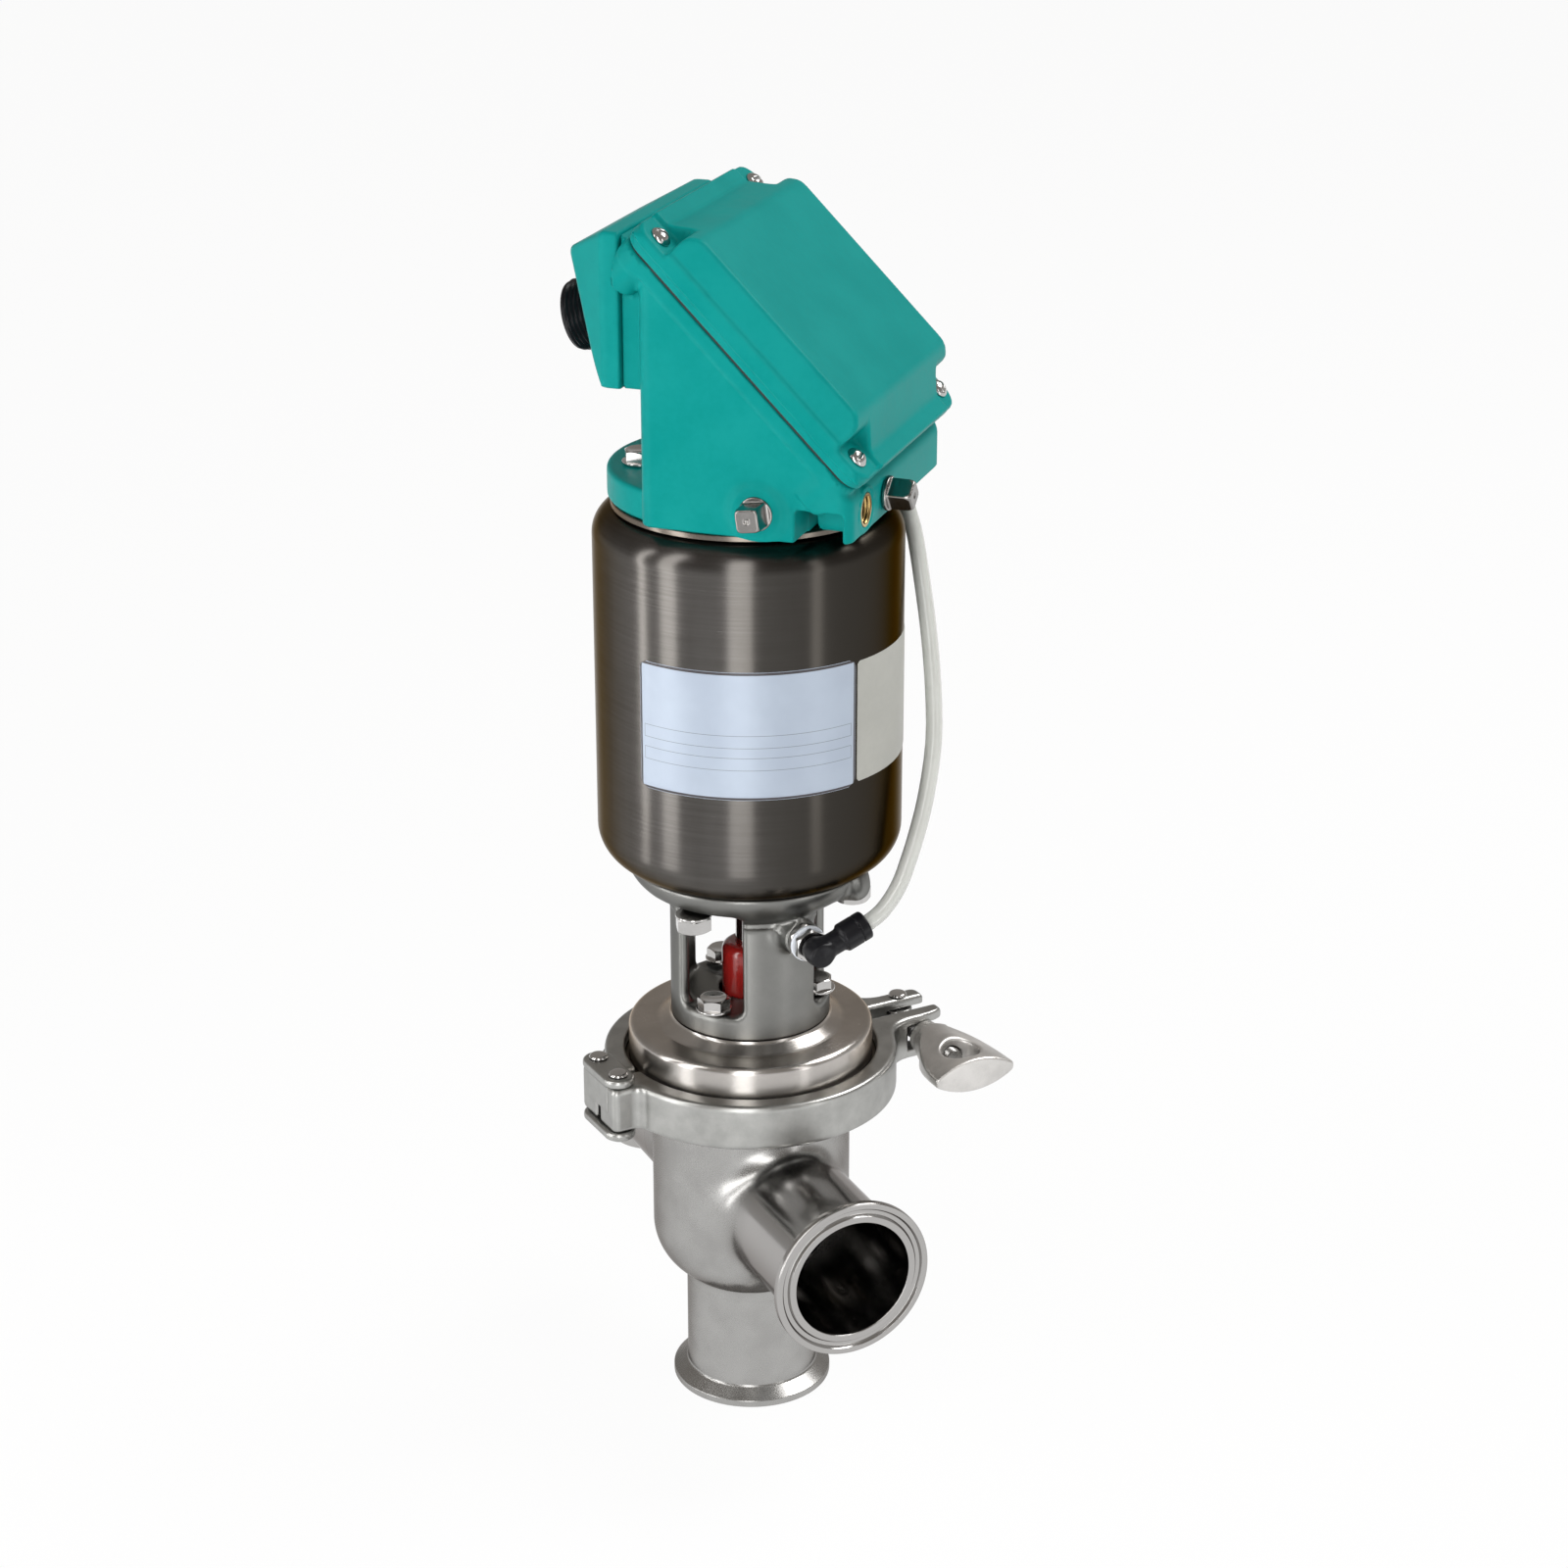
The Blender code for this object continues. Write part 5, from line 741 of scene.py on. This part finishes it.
def hexBolt(flats, height, washer=7.0, washerHeight=1.1):
    # six-sided head: side height drops towards the corners, h = top - (r(t) - rTop) tan 30; a washer below
    steps = 96
    t = np.linspace(0.0, 2 * pi, steps, endpoint=False)
    side = flats / 2 / np.cos(np.mod(t + pi / 6, pi / 3) - pi / 6)
    top = flats / 2 * 0.96
    base = washerHeight
    rings = [(0 * t, base + 0 * t), (side * 0.97, base + 0 * t), (side, base + 0.25 + 0 * t),
             (side, base + height - (side - top) * tan(radians(30))), (top + 0 * t, base + height + 0 * t),
             (top - 0.8 + 0 * t, base + height + 0 * t), (top - 1.6 + 0 * t, base + height - 0.35 + 0 * t),
             (0 * t, base + height - 0.35 + 0 * t)]
    points = np.concatenate([np.stack([r * np.cos(t), r * np.sin(t), h], -1) for r, h in rings])
    faces = trimmed(points, gridFaces(len(rings), steps))
    ring = bend((0.0, 0.0), (washer, 0.0, 0.3), (washer, washerHeight, 0.3), (0.0, washerHeight))
    more, moreFaces = turned(ring, 64)
    return np.concatenate([points, more]), faces + [[a + len(points) for a in face] for face in moreFaces]


def makeBolts():
    head = turnFrame(-44.5)
    places = []
    for number, angle in enumerate(yoke["windows"], 1):
        way = np.array((cos(radians(angle)), sin(radians(angle)), 0.0))
        places.append((f"yoke_bolt_{number}", way * 26.5 + (0, 0, 174.2), 1, 11.1, 4.2))
        places.append((f"cap_bolt_{number}", way * 40.0 + (0, 0, 220.0), -1, 12.7, 5.5))
    for number, v in enumerate((-15.0, 15.0), 1):
        places.append((f"head_bolt_{number}", head @ np.array((-37.0, v, 388.5)), 1, 11.1, 4.2))
    for number, (name, spot, up, flats, height) in enumerate(places):
        points, faces = hexBolt(flats, height)
        points = points @ turnFrame(17.0 * number).T
        if up < 0:
            points = points * (1.0, -1.0, -1.0)
        makePiece(name + "_hex", points + spot, faces, "brightSteel", stands=(name,), sharp=25)


def makeStem():
    sleeve = bend((5.9, 169.8), (11.2, 169.8, 3.5), (11.2, 193.5, 3.5), (5.9, 193.5))
    makePiece("stem_coupling_turned", *turned(sleeve, 96), "redEnamel", "stem_train", stands=("stem_coupling",))
    rodLine = bend((0.0, 181.95), (5.8, 181.95, 0.3), (5.8, 410.0, 0.8), (0.0, 410.0))
    makePiece("actuator_rod_turned", *turned(rodLine, 64), "brightSteel", "stem_train", stands=("actuator_rod",))


spring = {"radius": 34.0, "wire": 3.6, "turns": 6.5, "low": 263.6, "high": 361.9, "seat": 366.3, "travel": 22.0}


def makeSpring():
    # tube of radius wire along a helix whose end turns lie closer: z = share - 0.55 sin(2 pi share)/2 pi
    k = spring
    share = np.linspace(0.0, 1.0, 420)[:, None]
    t = np.linspace(0.0, 2 * pi, 14, endpoint=False)[None, :]
    eased = share - np.sin(2 * pi * share) / (2 * pi) * 0.55
    angle = 2 * pi * k["turns"] * share
    r = k["radius"] + k["wire"] * np.cos(t)
    z = k["low"] + (k["high"] - k["low"]) * eased + k["wire"] * np.sin(t)
    points = np.stack([r * np.cos(angle), r * np.sin(angle), z], -1).reshape(-1, 3)
    faces = gridFaces(420, 14).tolist() + [list(range(14)), list(range(len(points) - 14, len(points)))]
    piece = makePiece("spring_coil", points, faces, "wireSteel", stands=("spring",))
    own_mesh(piece)


cylinder = {"radius": 58.65, "low": 231.3, "high": 373.0, "bottomRound": 14.6, "topRound": 11.0, "wall": 2.2}


def makeCylinder():
    c = cylinder
    r, low, high, w = c["radius"], c["low"], c["high"], c["wall"]
    profile = bend((34.0, low), (r, low, c["bottomRound"]), (r, high, c["topRound"]), (46.4, high, 0.3),
                   (46.4, high - w), (r - w, high - w, c["topRound"] - w), (r - w, low + w, c["bottomRound"] - w),
                   (34.0, low + w), steps=14)
    makePiece("cylinder_shell", *turned(profile, 224), "shellSteel", stands=("cylinder",), sharp=40)
    plate = bend((6.1, 366.3), (45.8, 366.3), (45.8, 373.3), (51.5, 373.3, 0.4), (51.5, 376.0, 0.9), (6.1, 376.0))
    makePiece("top_plate_turned", *turned(plate, 128), "darkSteel", stands=("top_plate",))


def wrappedPatch(name, middle, half, low, high, radius, corner, thick, look):
    # (s, t) in a rectangle with rounded corners, rolled onto a cylinder; the edge falls away in a quarter round
    rows, columns = 41, 97
    t = np.linspace(-1.0, 1.0, rows)[:, None]
    s = np.linspace(-1.0, 1.0, columns)[None, :]
    halfHeight, halfWidth = (high - low) / 2, radius * radians(half)
    z = t * halfHeight
    over = np.maximum(np.abs(z) - (halfHeight - corner), 0.0)
    width = halfWidth - corner + np.sqrt(np.maximum(corner ** 2 - over ** 2, 0.0))
    across = s * width
    edge = np.minimum(width - np.abs(across), halfHeight - np.abs(z))
    lift = thick * np.sqrt(np.clip(1.0 - np.maximum(1.0 - edge / 0.5, 0.0) ** 2, 0.0, 1.0))
    angle = across / radius + radians(middle)

    def sheet(level):
        height = z + (low + high) / 2 + 0 * angle
        return np.stack([level * np.sin(angle), -level * np.cos(angle), height], -1).reshape(-1, 3)

    points = np.concatenate([sheet(radius + lift), sheet(radius - 0.15 + 0 * lift)])
    top = gridFaces(rows, columns, closeColumns=False)
    count = rows * columns
    rim = np.concatenate([np.arange(columns), np.arange(2, rows) * columns - 1, [count - 1],
                          count - 2 - np.arange(columns - 1), (np.arange(rows - 2, 0, -1)) * columns])
    after = np.roll(rim, -1)
    wall = np.stack([rim, after, after + count, rim + count], -1)
    faces = np.concatenate([top, top[:, ::-1] + count, wall])
    return makePiece(name, points, faces.tolist(), look, slot="grey_plastic")


def makeLabels():
    k = label
    wrappedPatch("rating_label", -k["middle"], k["half"], k["low"], k["high"], 58.72, k["corner"], 0.25, "labelFoil")
    wrappedPatch("tape_label", -k["middle"] + k["half"] + 27.0, 26.0, 277.5, 325.0, 58.72, 1.0, 0.15, "creamTape")


headTurn = -44.5
lid = {"u": 15.4, "z": 439.0, "long": 60.0, "wide": 56.0, "corner": 7.5, "screwLong": 51.5, "screwWide": 48.5}
headFrame = (turnFrame(headTurn), np.zeros(3))
half45 = sqrt(0.5)


def lidSpace(u, z):
    # (along, up) on the cover's sloping plane from (u, z)
    return ((u - lid["u"]) - (z - lid["z"])) * half45, ((u - lid["u"]) + (z - lid["z"])) * half45


def roundedPlan(a, b, halfA, halfB, radius):
    p, q = np.abs(a) - halfA + radius, np.abs(b) - halfB + radius
    return np.hypot(np.maximum(p, 0.0), np.maximum(q, 0.0)) + np.minimum(np.maximum(p, q), 0.0) - radius


screwSpots = [(side * lid["screwLong"], across * lid["screwWide"]) for side in (-1, 1) for across in (-1, 1)]

# in the head's own frame: u towards the front, v to the side, z up
housing = {"middle": 17.75, "long": 40.25, "wide": 54.5, "corner": 5.5, "low": 376.6, "noseLow": 378.0, "under": 2.3,
           "notch": (37.0, 54.7, 389.1), "disc": (52.5, 388.2), "seam": -31.0, "seat": (46.0, 425.0, 482.0),
           "hollow": (36.0, 50.3, 384.2, 393.1), "plug": (23.0, 386.8), "port": (-36.0, 386.2, 6.2)}


def housingField(u, v, z):
    # box under the slope, foot disc, seat of the terminal box, gasket lip and screw bosses; notch, ports and hollow
    along, up = lidSpace(u, z)
    k = housing
    notchIn, notchOut, notchTop = k["notch"]
    seatHalf, seatLow, seatHigh = k["seat"]
    hollowLong, hollowWide, floor, noseFloor = k["hollow"]
    portV, portZ, portRadius = k["port"]
    plan = roundedPlan(u - k["middle"], v, k["long"], k["wide"], k["corner"])
    body = meet(meet(plan, up + k["under"], 1.5), k["low"] - z, 1.2)
    body = carve(body, boxField(u, v, z, (notchIn, -70.0, 300.0), (notchOut, 70.0, notchTop), 1.5), 1.2)
    body = meet(body, np.where(u > 45.0, k["noseLow"], k["low"]) - z, 1.0)
    disc = rodField(u, v, z, k["disc"][0], k["low"], k["disc"][1], 1.6)
    disc = np.maximum(disc, u - 36.0)
    body = merge(body, disc, 2.5)
    boxTop = seatHigh + (u - k["seam"]) * 0.2
    foot = meet(meet(np.abs(v) - seatHalf, seatLow - z, 2.0), z - boxTop, 2.0)
    foot = np.maximum(foot, np.maximum(u + 20.0, k["seam"] - u))
    body = merge(body, np.maximum(foot, up + 2.5), 2.0)
    lip = meet(roundedPlan(along, v, 59.0, 55.0, 7.5), np.abs(up + 2.05) - 2.55, 0.8)
    body = merge(body, lip, 1.5)
    for a, b in screwSpots:
        boss = np.maximum(np.hypot(along - a, v - b) - 7.2, np.abs(up + 7.5) - 7.0)
        body = merge(body, boss, 2.5)
    body = np.maximum(body, np.minimum(k["seam"] - u, z - 395.0))
    pad = rodField(u - k["plug"][0], z - k["plug"][1], v, 9.5, -55.2, -50.0, 0.8)
    body = merge(body, np.maximum(pad, k["low"] - z), 4.0)
    hollow = np.maximum(roundedPlan(u - k["middle"], v, hollowLong, hollowWide, 3.0), up - 3.0)
    hollow = meet(hollow, np.where(u > 33.0, noseFloor, floor) - z, 1.0)
    body = carve(body, hollow, 1.0)
    body = carve(body, np.maximum(np.hypot(u, v) - 8.0, z - 390.0), 0.8)
    hole = np.hypot(v - portV, z - portZ) - portRadius
    ring = np.maximum(np.hypot(v - portV, z - portZ) - 8.6, np.maximum(42.0 - u, u - 58.0))
    body = merge(body, np.maximum(ring, k["noseLow"] - z), 0.8)
    return carve(body, np.maximum(hole, 46.0 - u), 1.0)


cover = {"middle": 6.15, "flange": 4.55, "domeFrom": 9.2, "domeRise": 13.0, "domeTop": 22.2, "long": 55.0,
         "wide": 55.7, "endLean": 14.5, "sideLean": 2.3, "recess": (45.0, 40.5, 8.8), "highest": 488.45}


def coverField(u, v, z):
    # flange with rounded corners, a dome drawn in towards its top, and four recesses for the screws
    along, up = lidSpace(u, z)
    k = cover
    plan = roundedPlan(along, v, lid["long"], lid["wide"], lid["corner"])
    flange = meet(plan, np.abs(up - k["middle"]) - k["flange"], 1.2)
    lean = atan(k["endLean"] / k["domeRise"])
    ends = (np.abs(along) - k["long"] + (up - k["domeFrom"]) * k["endLean"] / k["domeRise"]) * cos(lean)
    sides = (np.abs(v) - k["wide"] + (up - k["domeFrom"]) * k["sideLean"] / k["domeRise"]) * 0.985
    dome = meet(meet(ends, sides, 2.0), up - k["domeTop"], 1.8)
    dome = np.maximum(dome, 5.0 - up)
    recessLong, recessWide, recessLow = k["recess"]
    recess = meet(meet(recessLong - np.abs(along), recessWide - np.abs(v), 3.0), recessLow - up, 1.5)
    return np.maximum(carve(merge(flange, dome, 1.2), recess, 1.6), z - k["highest"])


boxLid = {"half": 48.0, "back": -43.0, "knee": 431.0, "low": 425.0, "high": 482.0, "shoulder": -37.7, "fall": 0.55,
          "facet": 0.8, "lean": (13.0, 39.0), "seam": -31.3}


def boxLidField(u, v, z):
    # wedge, deeper at the top, with its rear corners cut upright and its top falling towards the back
    k = boxLid
    lean = atan(k["lean"][0] / k["lean"][1])
    behind = u - k["shoulder"]
    back = -(u - k["back"] + (z - k["knee"]) * tan(lean)) * cos(lean)
    top = np.maximum(z - k["high"], (z - k["high"] - behind * k["fall"]) * 0.876)
    low = np.maximum(k["low"] - z, ((k["knee"] - z) * 0.6 - (u - k["back"])) * 0.857)
    body = meet(meet(back, top, 2.5), low, 1.5)
    facet = (np.abs(v) - k["half"] - behind * k["facet"]) / hypot(1.0, k["facet"])
    body = meet(body, meet(np.abs(v) - k["half"], facet, 1.2), 2.0)
    return meet(body, u - k["seam"], 0.9)


def makeHead():
    cast("head_housing_cast", housingField, (-52.6, -55.3, 376.6), (59.0, 55.3, 484.0), 1.15, "tealEnamel",
         headFrame, stands=("head_housing",))
    cast("head_cover_cast", coverField, (-31.0, -56.0, 396.0), (76.0, 56.0, 489.0), 1.0, "tealEnamel",
         headFrame, stands=("head_cover",))
    cast("terminal_box_lid", boxLidField, (-58.5, -48.0, 425.0), (-31.2, 48.0, 482.0), 0.9, "tealEnamel",
         headFrame, stands=("terminal_box_cover",))
    along = np.array((half45, 0.0, -half45))
    upWay = np.array((half45, 0.0, half45))
    centre = np.array((lid["u"], 0.0, lid["z"]))
    lidTurn = headFrame[0] @ np.column_stack([along, (0.0, 1.0, 0.0), upWay])
    makeGasket(centre)
    for number, (a, b) in enumerate(screwSpots, 1):
        spot = headFrame[0] @ (centre + along * a + upWay * 9.1 + (0.0, b, 0.0))
        cast(f"cover_screw_{number}_domed", screwField, (-4.3, -4.3, -0.5), (4.3, 4.3, 3.0), 0.28, "brightSteel",
             (lidTurn @ turnFrame(35.0 * number), spot), stands=(f"cover_screw_{number}",))


def screwField(x, y, z):
    # flat-bottomed dome with one slot
    dome = meet(np.sqrt(x ** 2 + y ** 2 + (z + 2.2) ** 2) - 4.9, np.hypot(x, y) - 4.2, 0.5)
    dome = meet(dome, -0.2 - z, 0.3)
    slot = np.maximum(np.abs(y) - 0.55, 1.5 - z)
    return carve(dome, slot, 0.4)


def makeGasket(centre):
    # flat ring between housing and cover: outline offset by h, its edge rounded
    def outline(grow, up):
        t = np.linspace(0.0, pi / 2, 9)
        points = []
        for sx, sy, start in ((1, 1, 0), (-1, 1, 90), (-1, -1, 180), (1, -1, 270)):
            a = t + radians(start)
            reach = lid["corner"] + grow
            points.append(np.stack([sx * 51.5 + reach * np.cos(a), sy * 47.5 + reach * np.sin(a), 0 * a + up], -1))
        return np.concatenate(points)

    rings = np.concatenate([outline(-0.7, 0.5), outline(-0.5, 0.7), outline(-0.5, 1.4), outline(-0.7, 1.6),
                            outline(-6.0, 1.6), outline(-6.0, 0.5)])
    faces = gridFaces(6, 36, closeRows=True)
    points = (rings @ np.column_stack([(half45, 0.0, -half45), (0.0, 1.0, 0.0), (half45, 0.0, half45)]).T + centre)
    makePiece("cover_gasket_ring", points @ headFrame[0].T, faces.tolist(), "blackRubber", stands=("cover_gasket",))


def plugField(x, y, z):
    # threaded root, round collar and a square head with its edges broken
    collar = rodField(x, y, z, 6.4, 0.3, 2.1, 0.5)
    square = boxField(x, y, z, (-4.3, -4.3, 1.0), (4.3, 4.3, 11.1), 0.7)
    square = meet(square, np.hypot(x, y) + z * 0.45 - 10.1, 0.6)
    dimple = np.sqrt(x ** 2 + y ** 2 + (z - 11.9) ** 2) - 1.4
    return carve(merge(collar, square, 0.8), dimple, 0.3)


def makePlugs():
    plugU, plugZ = housing["plug"]
    portV, portZ = housing["port"][:2]
    for name, spot, way in (("side_plug", (plugU, -54.5, plugZ), (0.0, -1.0, 0.0)),
                            ("front_plug", (58.0, -14.0, portZ), (1.0, 0.0, 0.0))):
        turnTo, origin = frameFor(headFrame[0] @ np.array(way), headFrame[0] @ np.array(spot))
        lean = turnFrame(8.0 if name == "side_plug" else 38.0)
        cast(name + "_square", plugField, (-6.5, -6.5, 0.2), (6.5, 6.5, 11.2), 0.42, "plugSteel",
             (turnTo @ lean, origin), stands=(name,))
    way = headFrame[0] @ np.array((1.0, 0.0, 0.0))
    spot = headFrame[0] @ np.array((46.3, portV, portZ))
    wall = bend((6.15, 0.0), (6.15, 11.6), (5.2, 11.6), steps=4)
    h = np.linspace(11.4, 0.4, 120)
    wave = np.stack([5.25 + 0.35 * np.abs(np.mod(h / 1.4, 1.0) * 2 - 1.0), h], -1)
    profile = np.concatenate([np.array(wall), wave, [(5.2, 0.0)]])
    makePiece("port_thread", *turned(profile, 64, frameFor(way, spot)), "brassThread", slot="bright_steel")
    # painted shade: a black disc at the bottom of the port hole stands in for the shade inside the hole
    cap = bend((0.0, -0.4), (6.1, -0.4), (6.1, 0.0), (0.0, 0.0))
    makePiece("port_shade_disc", *turned(cap, 48, frameFor(way, spot)), "blackRubber", slot="black_rubber")
    out = headFrame[0] @ np.array((-0.9653, 0.0, -0.2612))
    nipple = headFrame[0] @ np.array((-44.2, -10.0, 446.0))
    points, faces = threaded(13.4, 0.9, 1.8, 0.4, 20.1, 9.6, 96, frameAt=frameFor(out, nipple))
    makePiece("conduit_fitting_threaded", points, faces, "blackPlastic", stands=("conduit_fitting",))


def makeAirLine():
    spot = np.array((boss["x"], 0.0, boss["z"]))
    back = (0.0, -1.0, 0.0)

    def hexRing(flats, low, high):
        t = np.linspace(0.0, 2 * pi, 72, endpoint=False)
        side = flats / 2 / np.cos(np.mod(t + pi / 6, pi / 3) - pi / 6)
        top = flats / 2 * 0.99
        drop = (side - top) * tan(radians(30))
        rings = [(0 * t, low + 0 * t), (top + 0 * t, low + 0 * t), (side, low + drop), (side, high - drop),
                 (top + 0 * t, high + 0 * t), (0 * t, high + 0 * t)]
        points = np.concatenate([np.stack([r * np.cos(t), r * np.sin(t), h], -1) for r, h in rings])
        return points, trimmed(points, gridFaces(len(rings), 72))
    first = hexRing(12.5, 40.3, 43.1)
    second = hexRing(12.0, 45.3, 48.1)
    neck = turned(bend((0.0, 40.3), (4.4, 40.3), (4.4, 48.0), (0.0, 48.0)), 40)
    points, faces = [], []
    for part, partFaces in (first, second, neck):
        faces += [[a + sum(len(p) for p in points) for a in face] for face in partFaces]
        points.append(part)
    turnTo, origin = frameFor(back, spot)
    makePiece("air_fitting_hex", np.concatenate(points) @ turnTo.T + origin, faces, "brightSteel",
              stands=("air_fitting",), sharp=25)
    ring = bend((4.7, 43.4), (7.1, 43.4, 0.5), (7.1, 45.0, 0.5), (4.7, 45.0))
    makePiece("fitting_seal_ring_turned", *turned(ring, 64, (turnTo, origin)), "whiteSeal",
              stands=("fitting_seal_ring",))
    end = bend((0.0, 374.5), (6.4, 374.5, 0.6), (6.4, 388.9, 0.4), (0.0, 388.9))
    top = np.array((hose["end"][0], hose["end"][1], 0.0))
    makePiece("head_air_fitting_turned", *turned(end, 48, (np.eye(3), top)), "blackPlastic",
              stands=("head_air_fitting",))
    tilt = radians(hose["tilt"])

    def elbowField(x, y, z):
        # body on the thread, arm across it, and a collar that grips the hose
        dx, dz = x - boss["x"], z - boss["z"]
        body = rodField(dx, dz, y, 5.0, -58.2, -48.4, 1.4)
        a = dx * cos(tilt) + dz * sin(tilt)
        b = -dx * sin(tilt) + dz * cos(tilt)
        c = y + 53.4
        arm = rodField(b, c, a, 4.5, 0.0, 20.0, 0.5)
        collar = rodField(b, c, a, 5.7, 10.5, 21.5, 0.9)
        collar = carve(collar, np.abs(a - 17.6) - 0.25 + (np.hypot(b, c) < 5.3) * 9.0, 0.2)
        ball = np.sqrt(dx ** 2 + dz ** 2 + c ** 2) - 5.2
        return merge(merge(merge(body, arm, 2.0), ball, 1.0), collar, 1.6)

    cast("air_elbow_moulded", elbowField, (-2.2, -59.8, 203.0), (27.0, -47.0, 224.0), 0.5, "blackPlastic",
         stands=("air_elbow",))


print("castings")
makeBody()
makeBonnet()
makeClamp()
makeSwingBolt()
makeWingNut()
makeYoke()
makeBolts()
print("cylinder and labels")
makeStem()
makeSpring()
makeCylinder()
makeLabels()
print("control head")
makeHead()
makePlugs()
makeAirLine()

# the nodes that stay as the frame has them
kept = {"body_gasket": "blackRubber", "stem_seal": "blackRubber", "stem_bushing": "bushBronze",
        "plug": "polishedSteel",
        "plug_seal": "whiteSeal", "valve_stem": "polishedSteel", "piston": "satinSteel",
        "piston_seal": "blackRubber", "rod_nut": "brightSteel", "cylinder_base": "satinSteel",
        "switch_target": "blackPlastic", "switch_bracket": "satinSteel",
        "switch_lower": "blackPlastic", "switch_upper": "blackPlastic", "pilot_valve": "blackPlastic",
        "terminal_strip": "greyPlastic"}
for name, look in kept.items():
    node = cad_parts[name]
    node.data.materials.clear()
    node.data.materials.append(finishes[look])

print("floor and light")


# azimuth in degrees right of the camera as the valve sees it; distance, low end, high end and width in m; power in W
lamps = {"left strip": (-80.0, 0.55, 0.01, 0.75, 0.055, 0.72),
         "left front strip": (-58.0, 0.55, 0.01, 0.95, 0.12, 1.45),
         "front strip": (-6.0, 0.55, 0.01, 0.95, 0.16, 1.65),
         "front lamp": (-6.0, 2.0, 0.9, 2.2, 0.8, 2.0),
         "right strip": (48.0, 0.55, 0.01, 0.75, 0.07, 0.34),
         "top lamp": (110.0, 1.2, 1.3, 2.1, 1.2, 23.0)}
lampAim = 0.48           # a lamp whose middle is higher than this points down at it


def softBox(name, azimuth, distance, low, high, width, power):
    # upright rectangle that faces the valve
    toCamera = atan2(view["place"][1], view["place"][0])
    angle = toCamera + radians(azimuth)
    lamp = bpy.data.lights.new(name, "AREA")
    lamp.shape = "RECTANGLE"
    lamp.size, lamp.size_y = width, high - low
    lamp.energy = power
    piece = bpy.data.objects.new(name, lamp)
    spot = Vector((axisX * mm + distance * cos(angle), distance * sin(angle), (low + high) / 2))
    piece.location = spot
    aim = Vector((axisX * mm, 0.0, min(spot.z, lampAim)))
    piece.rotation_euler = (aim - spot).to_track_quat("-Z", "Y").to_euler()
    piece.visible_camera = False
    bpy.context.scene.collection.objects.link(piece)


for name, values in lamps.items():
    softBox(name, *values)


def makeFloor():
    size = 40.0          # far enough that no view down to 15 degrees sees its edge
    mesh = bpy.data.meshes.new("floor")
    corners = [(-size, -size, 0.0), (size, -size, 0.0), (size, size, 0.0), (-size, size, 0.0)]
    mesh.from_pydata(corners, [], [(0, 1, 2, 3)])
    floor = bpy.data.objects.new("floor", mesh)
    bpy.context.scene.collection.objects.link(floor)
    made = Finish("floorPaper")
    made.put(Base_Color=(0.90, 0.90, 0.90), Roughness=0.9)
    path = made.tree.nodes.new("ShaderNodeLightPath")
    seen = Wire(made, path.outputs["Is Camera Ray"]) + Wire(made, path.outputs["Is Glossy Ray"]) \
        + Wire(made, path.outputs["Is Transmission Ray"])
    glow = made.node("ShaderNodeEmission", {}, {"Color": (1.0, 1.0, 1.0), "Strength": 1.0})
    mixed = made.node("ShaderNodeMixShader", {}, (seen * 0.94, Wire(made, made.shader.outputs[0]), glow))
    made.tree.links.new(mixed.socket, made.tree.nodes["Material Output"].inputs["Surface"])
    mesh.materials.append(made.material)


def makeWorld():
    # dim and a little warm overhead, paler towards the horizon
    world = bpy.data.worlds.new("studio")
    world.use_nodes = True
    bpy.context.scene.world = world
    made = Finish("studio", world.node_tree)
    split = world.node_tree.nodes.new("ShaderNodeSeparateXYZ")
    made.set(split.inputs[0], made.node("ShaderNodeTexCoord", output="Generated"))
    rise = Wire(made, split.outputs["Z"]).between(0.0, 0.45)
    ground = world.node_tree.nodes["Background"]
    made.set(ground.inputs["Color"], made.mix(rise, (0.48, 0.47, 0.46), (0.30, 0.28, 0.26)))
    made.set(ground.inputs["Strength"], 1.0)


makeFloor()
makeWorld()

print("done")
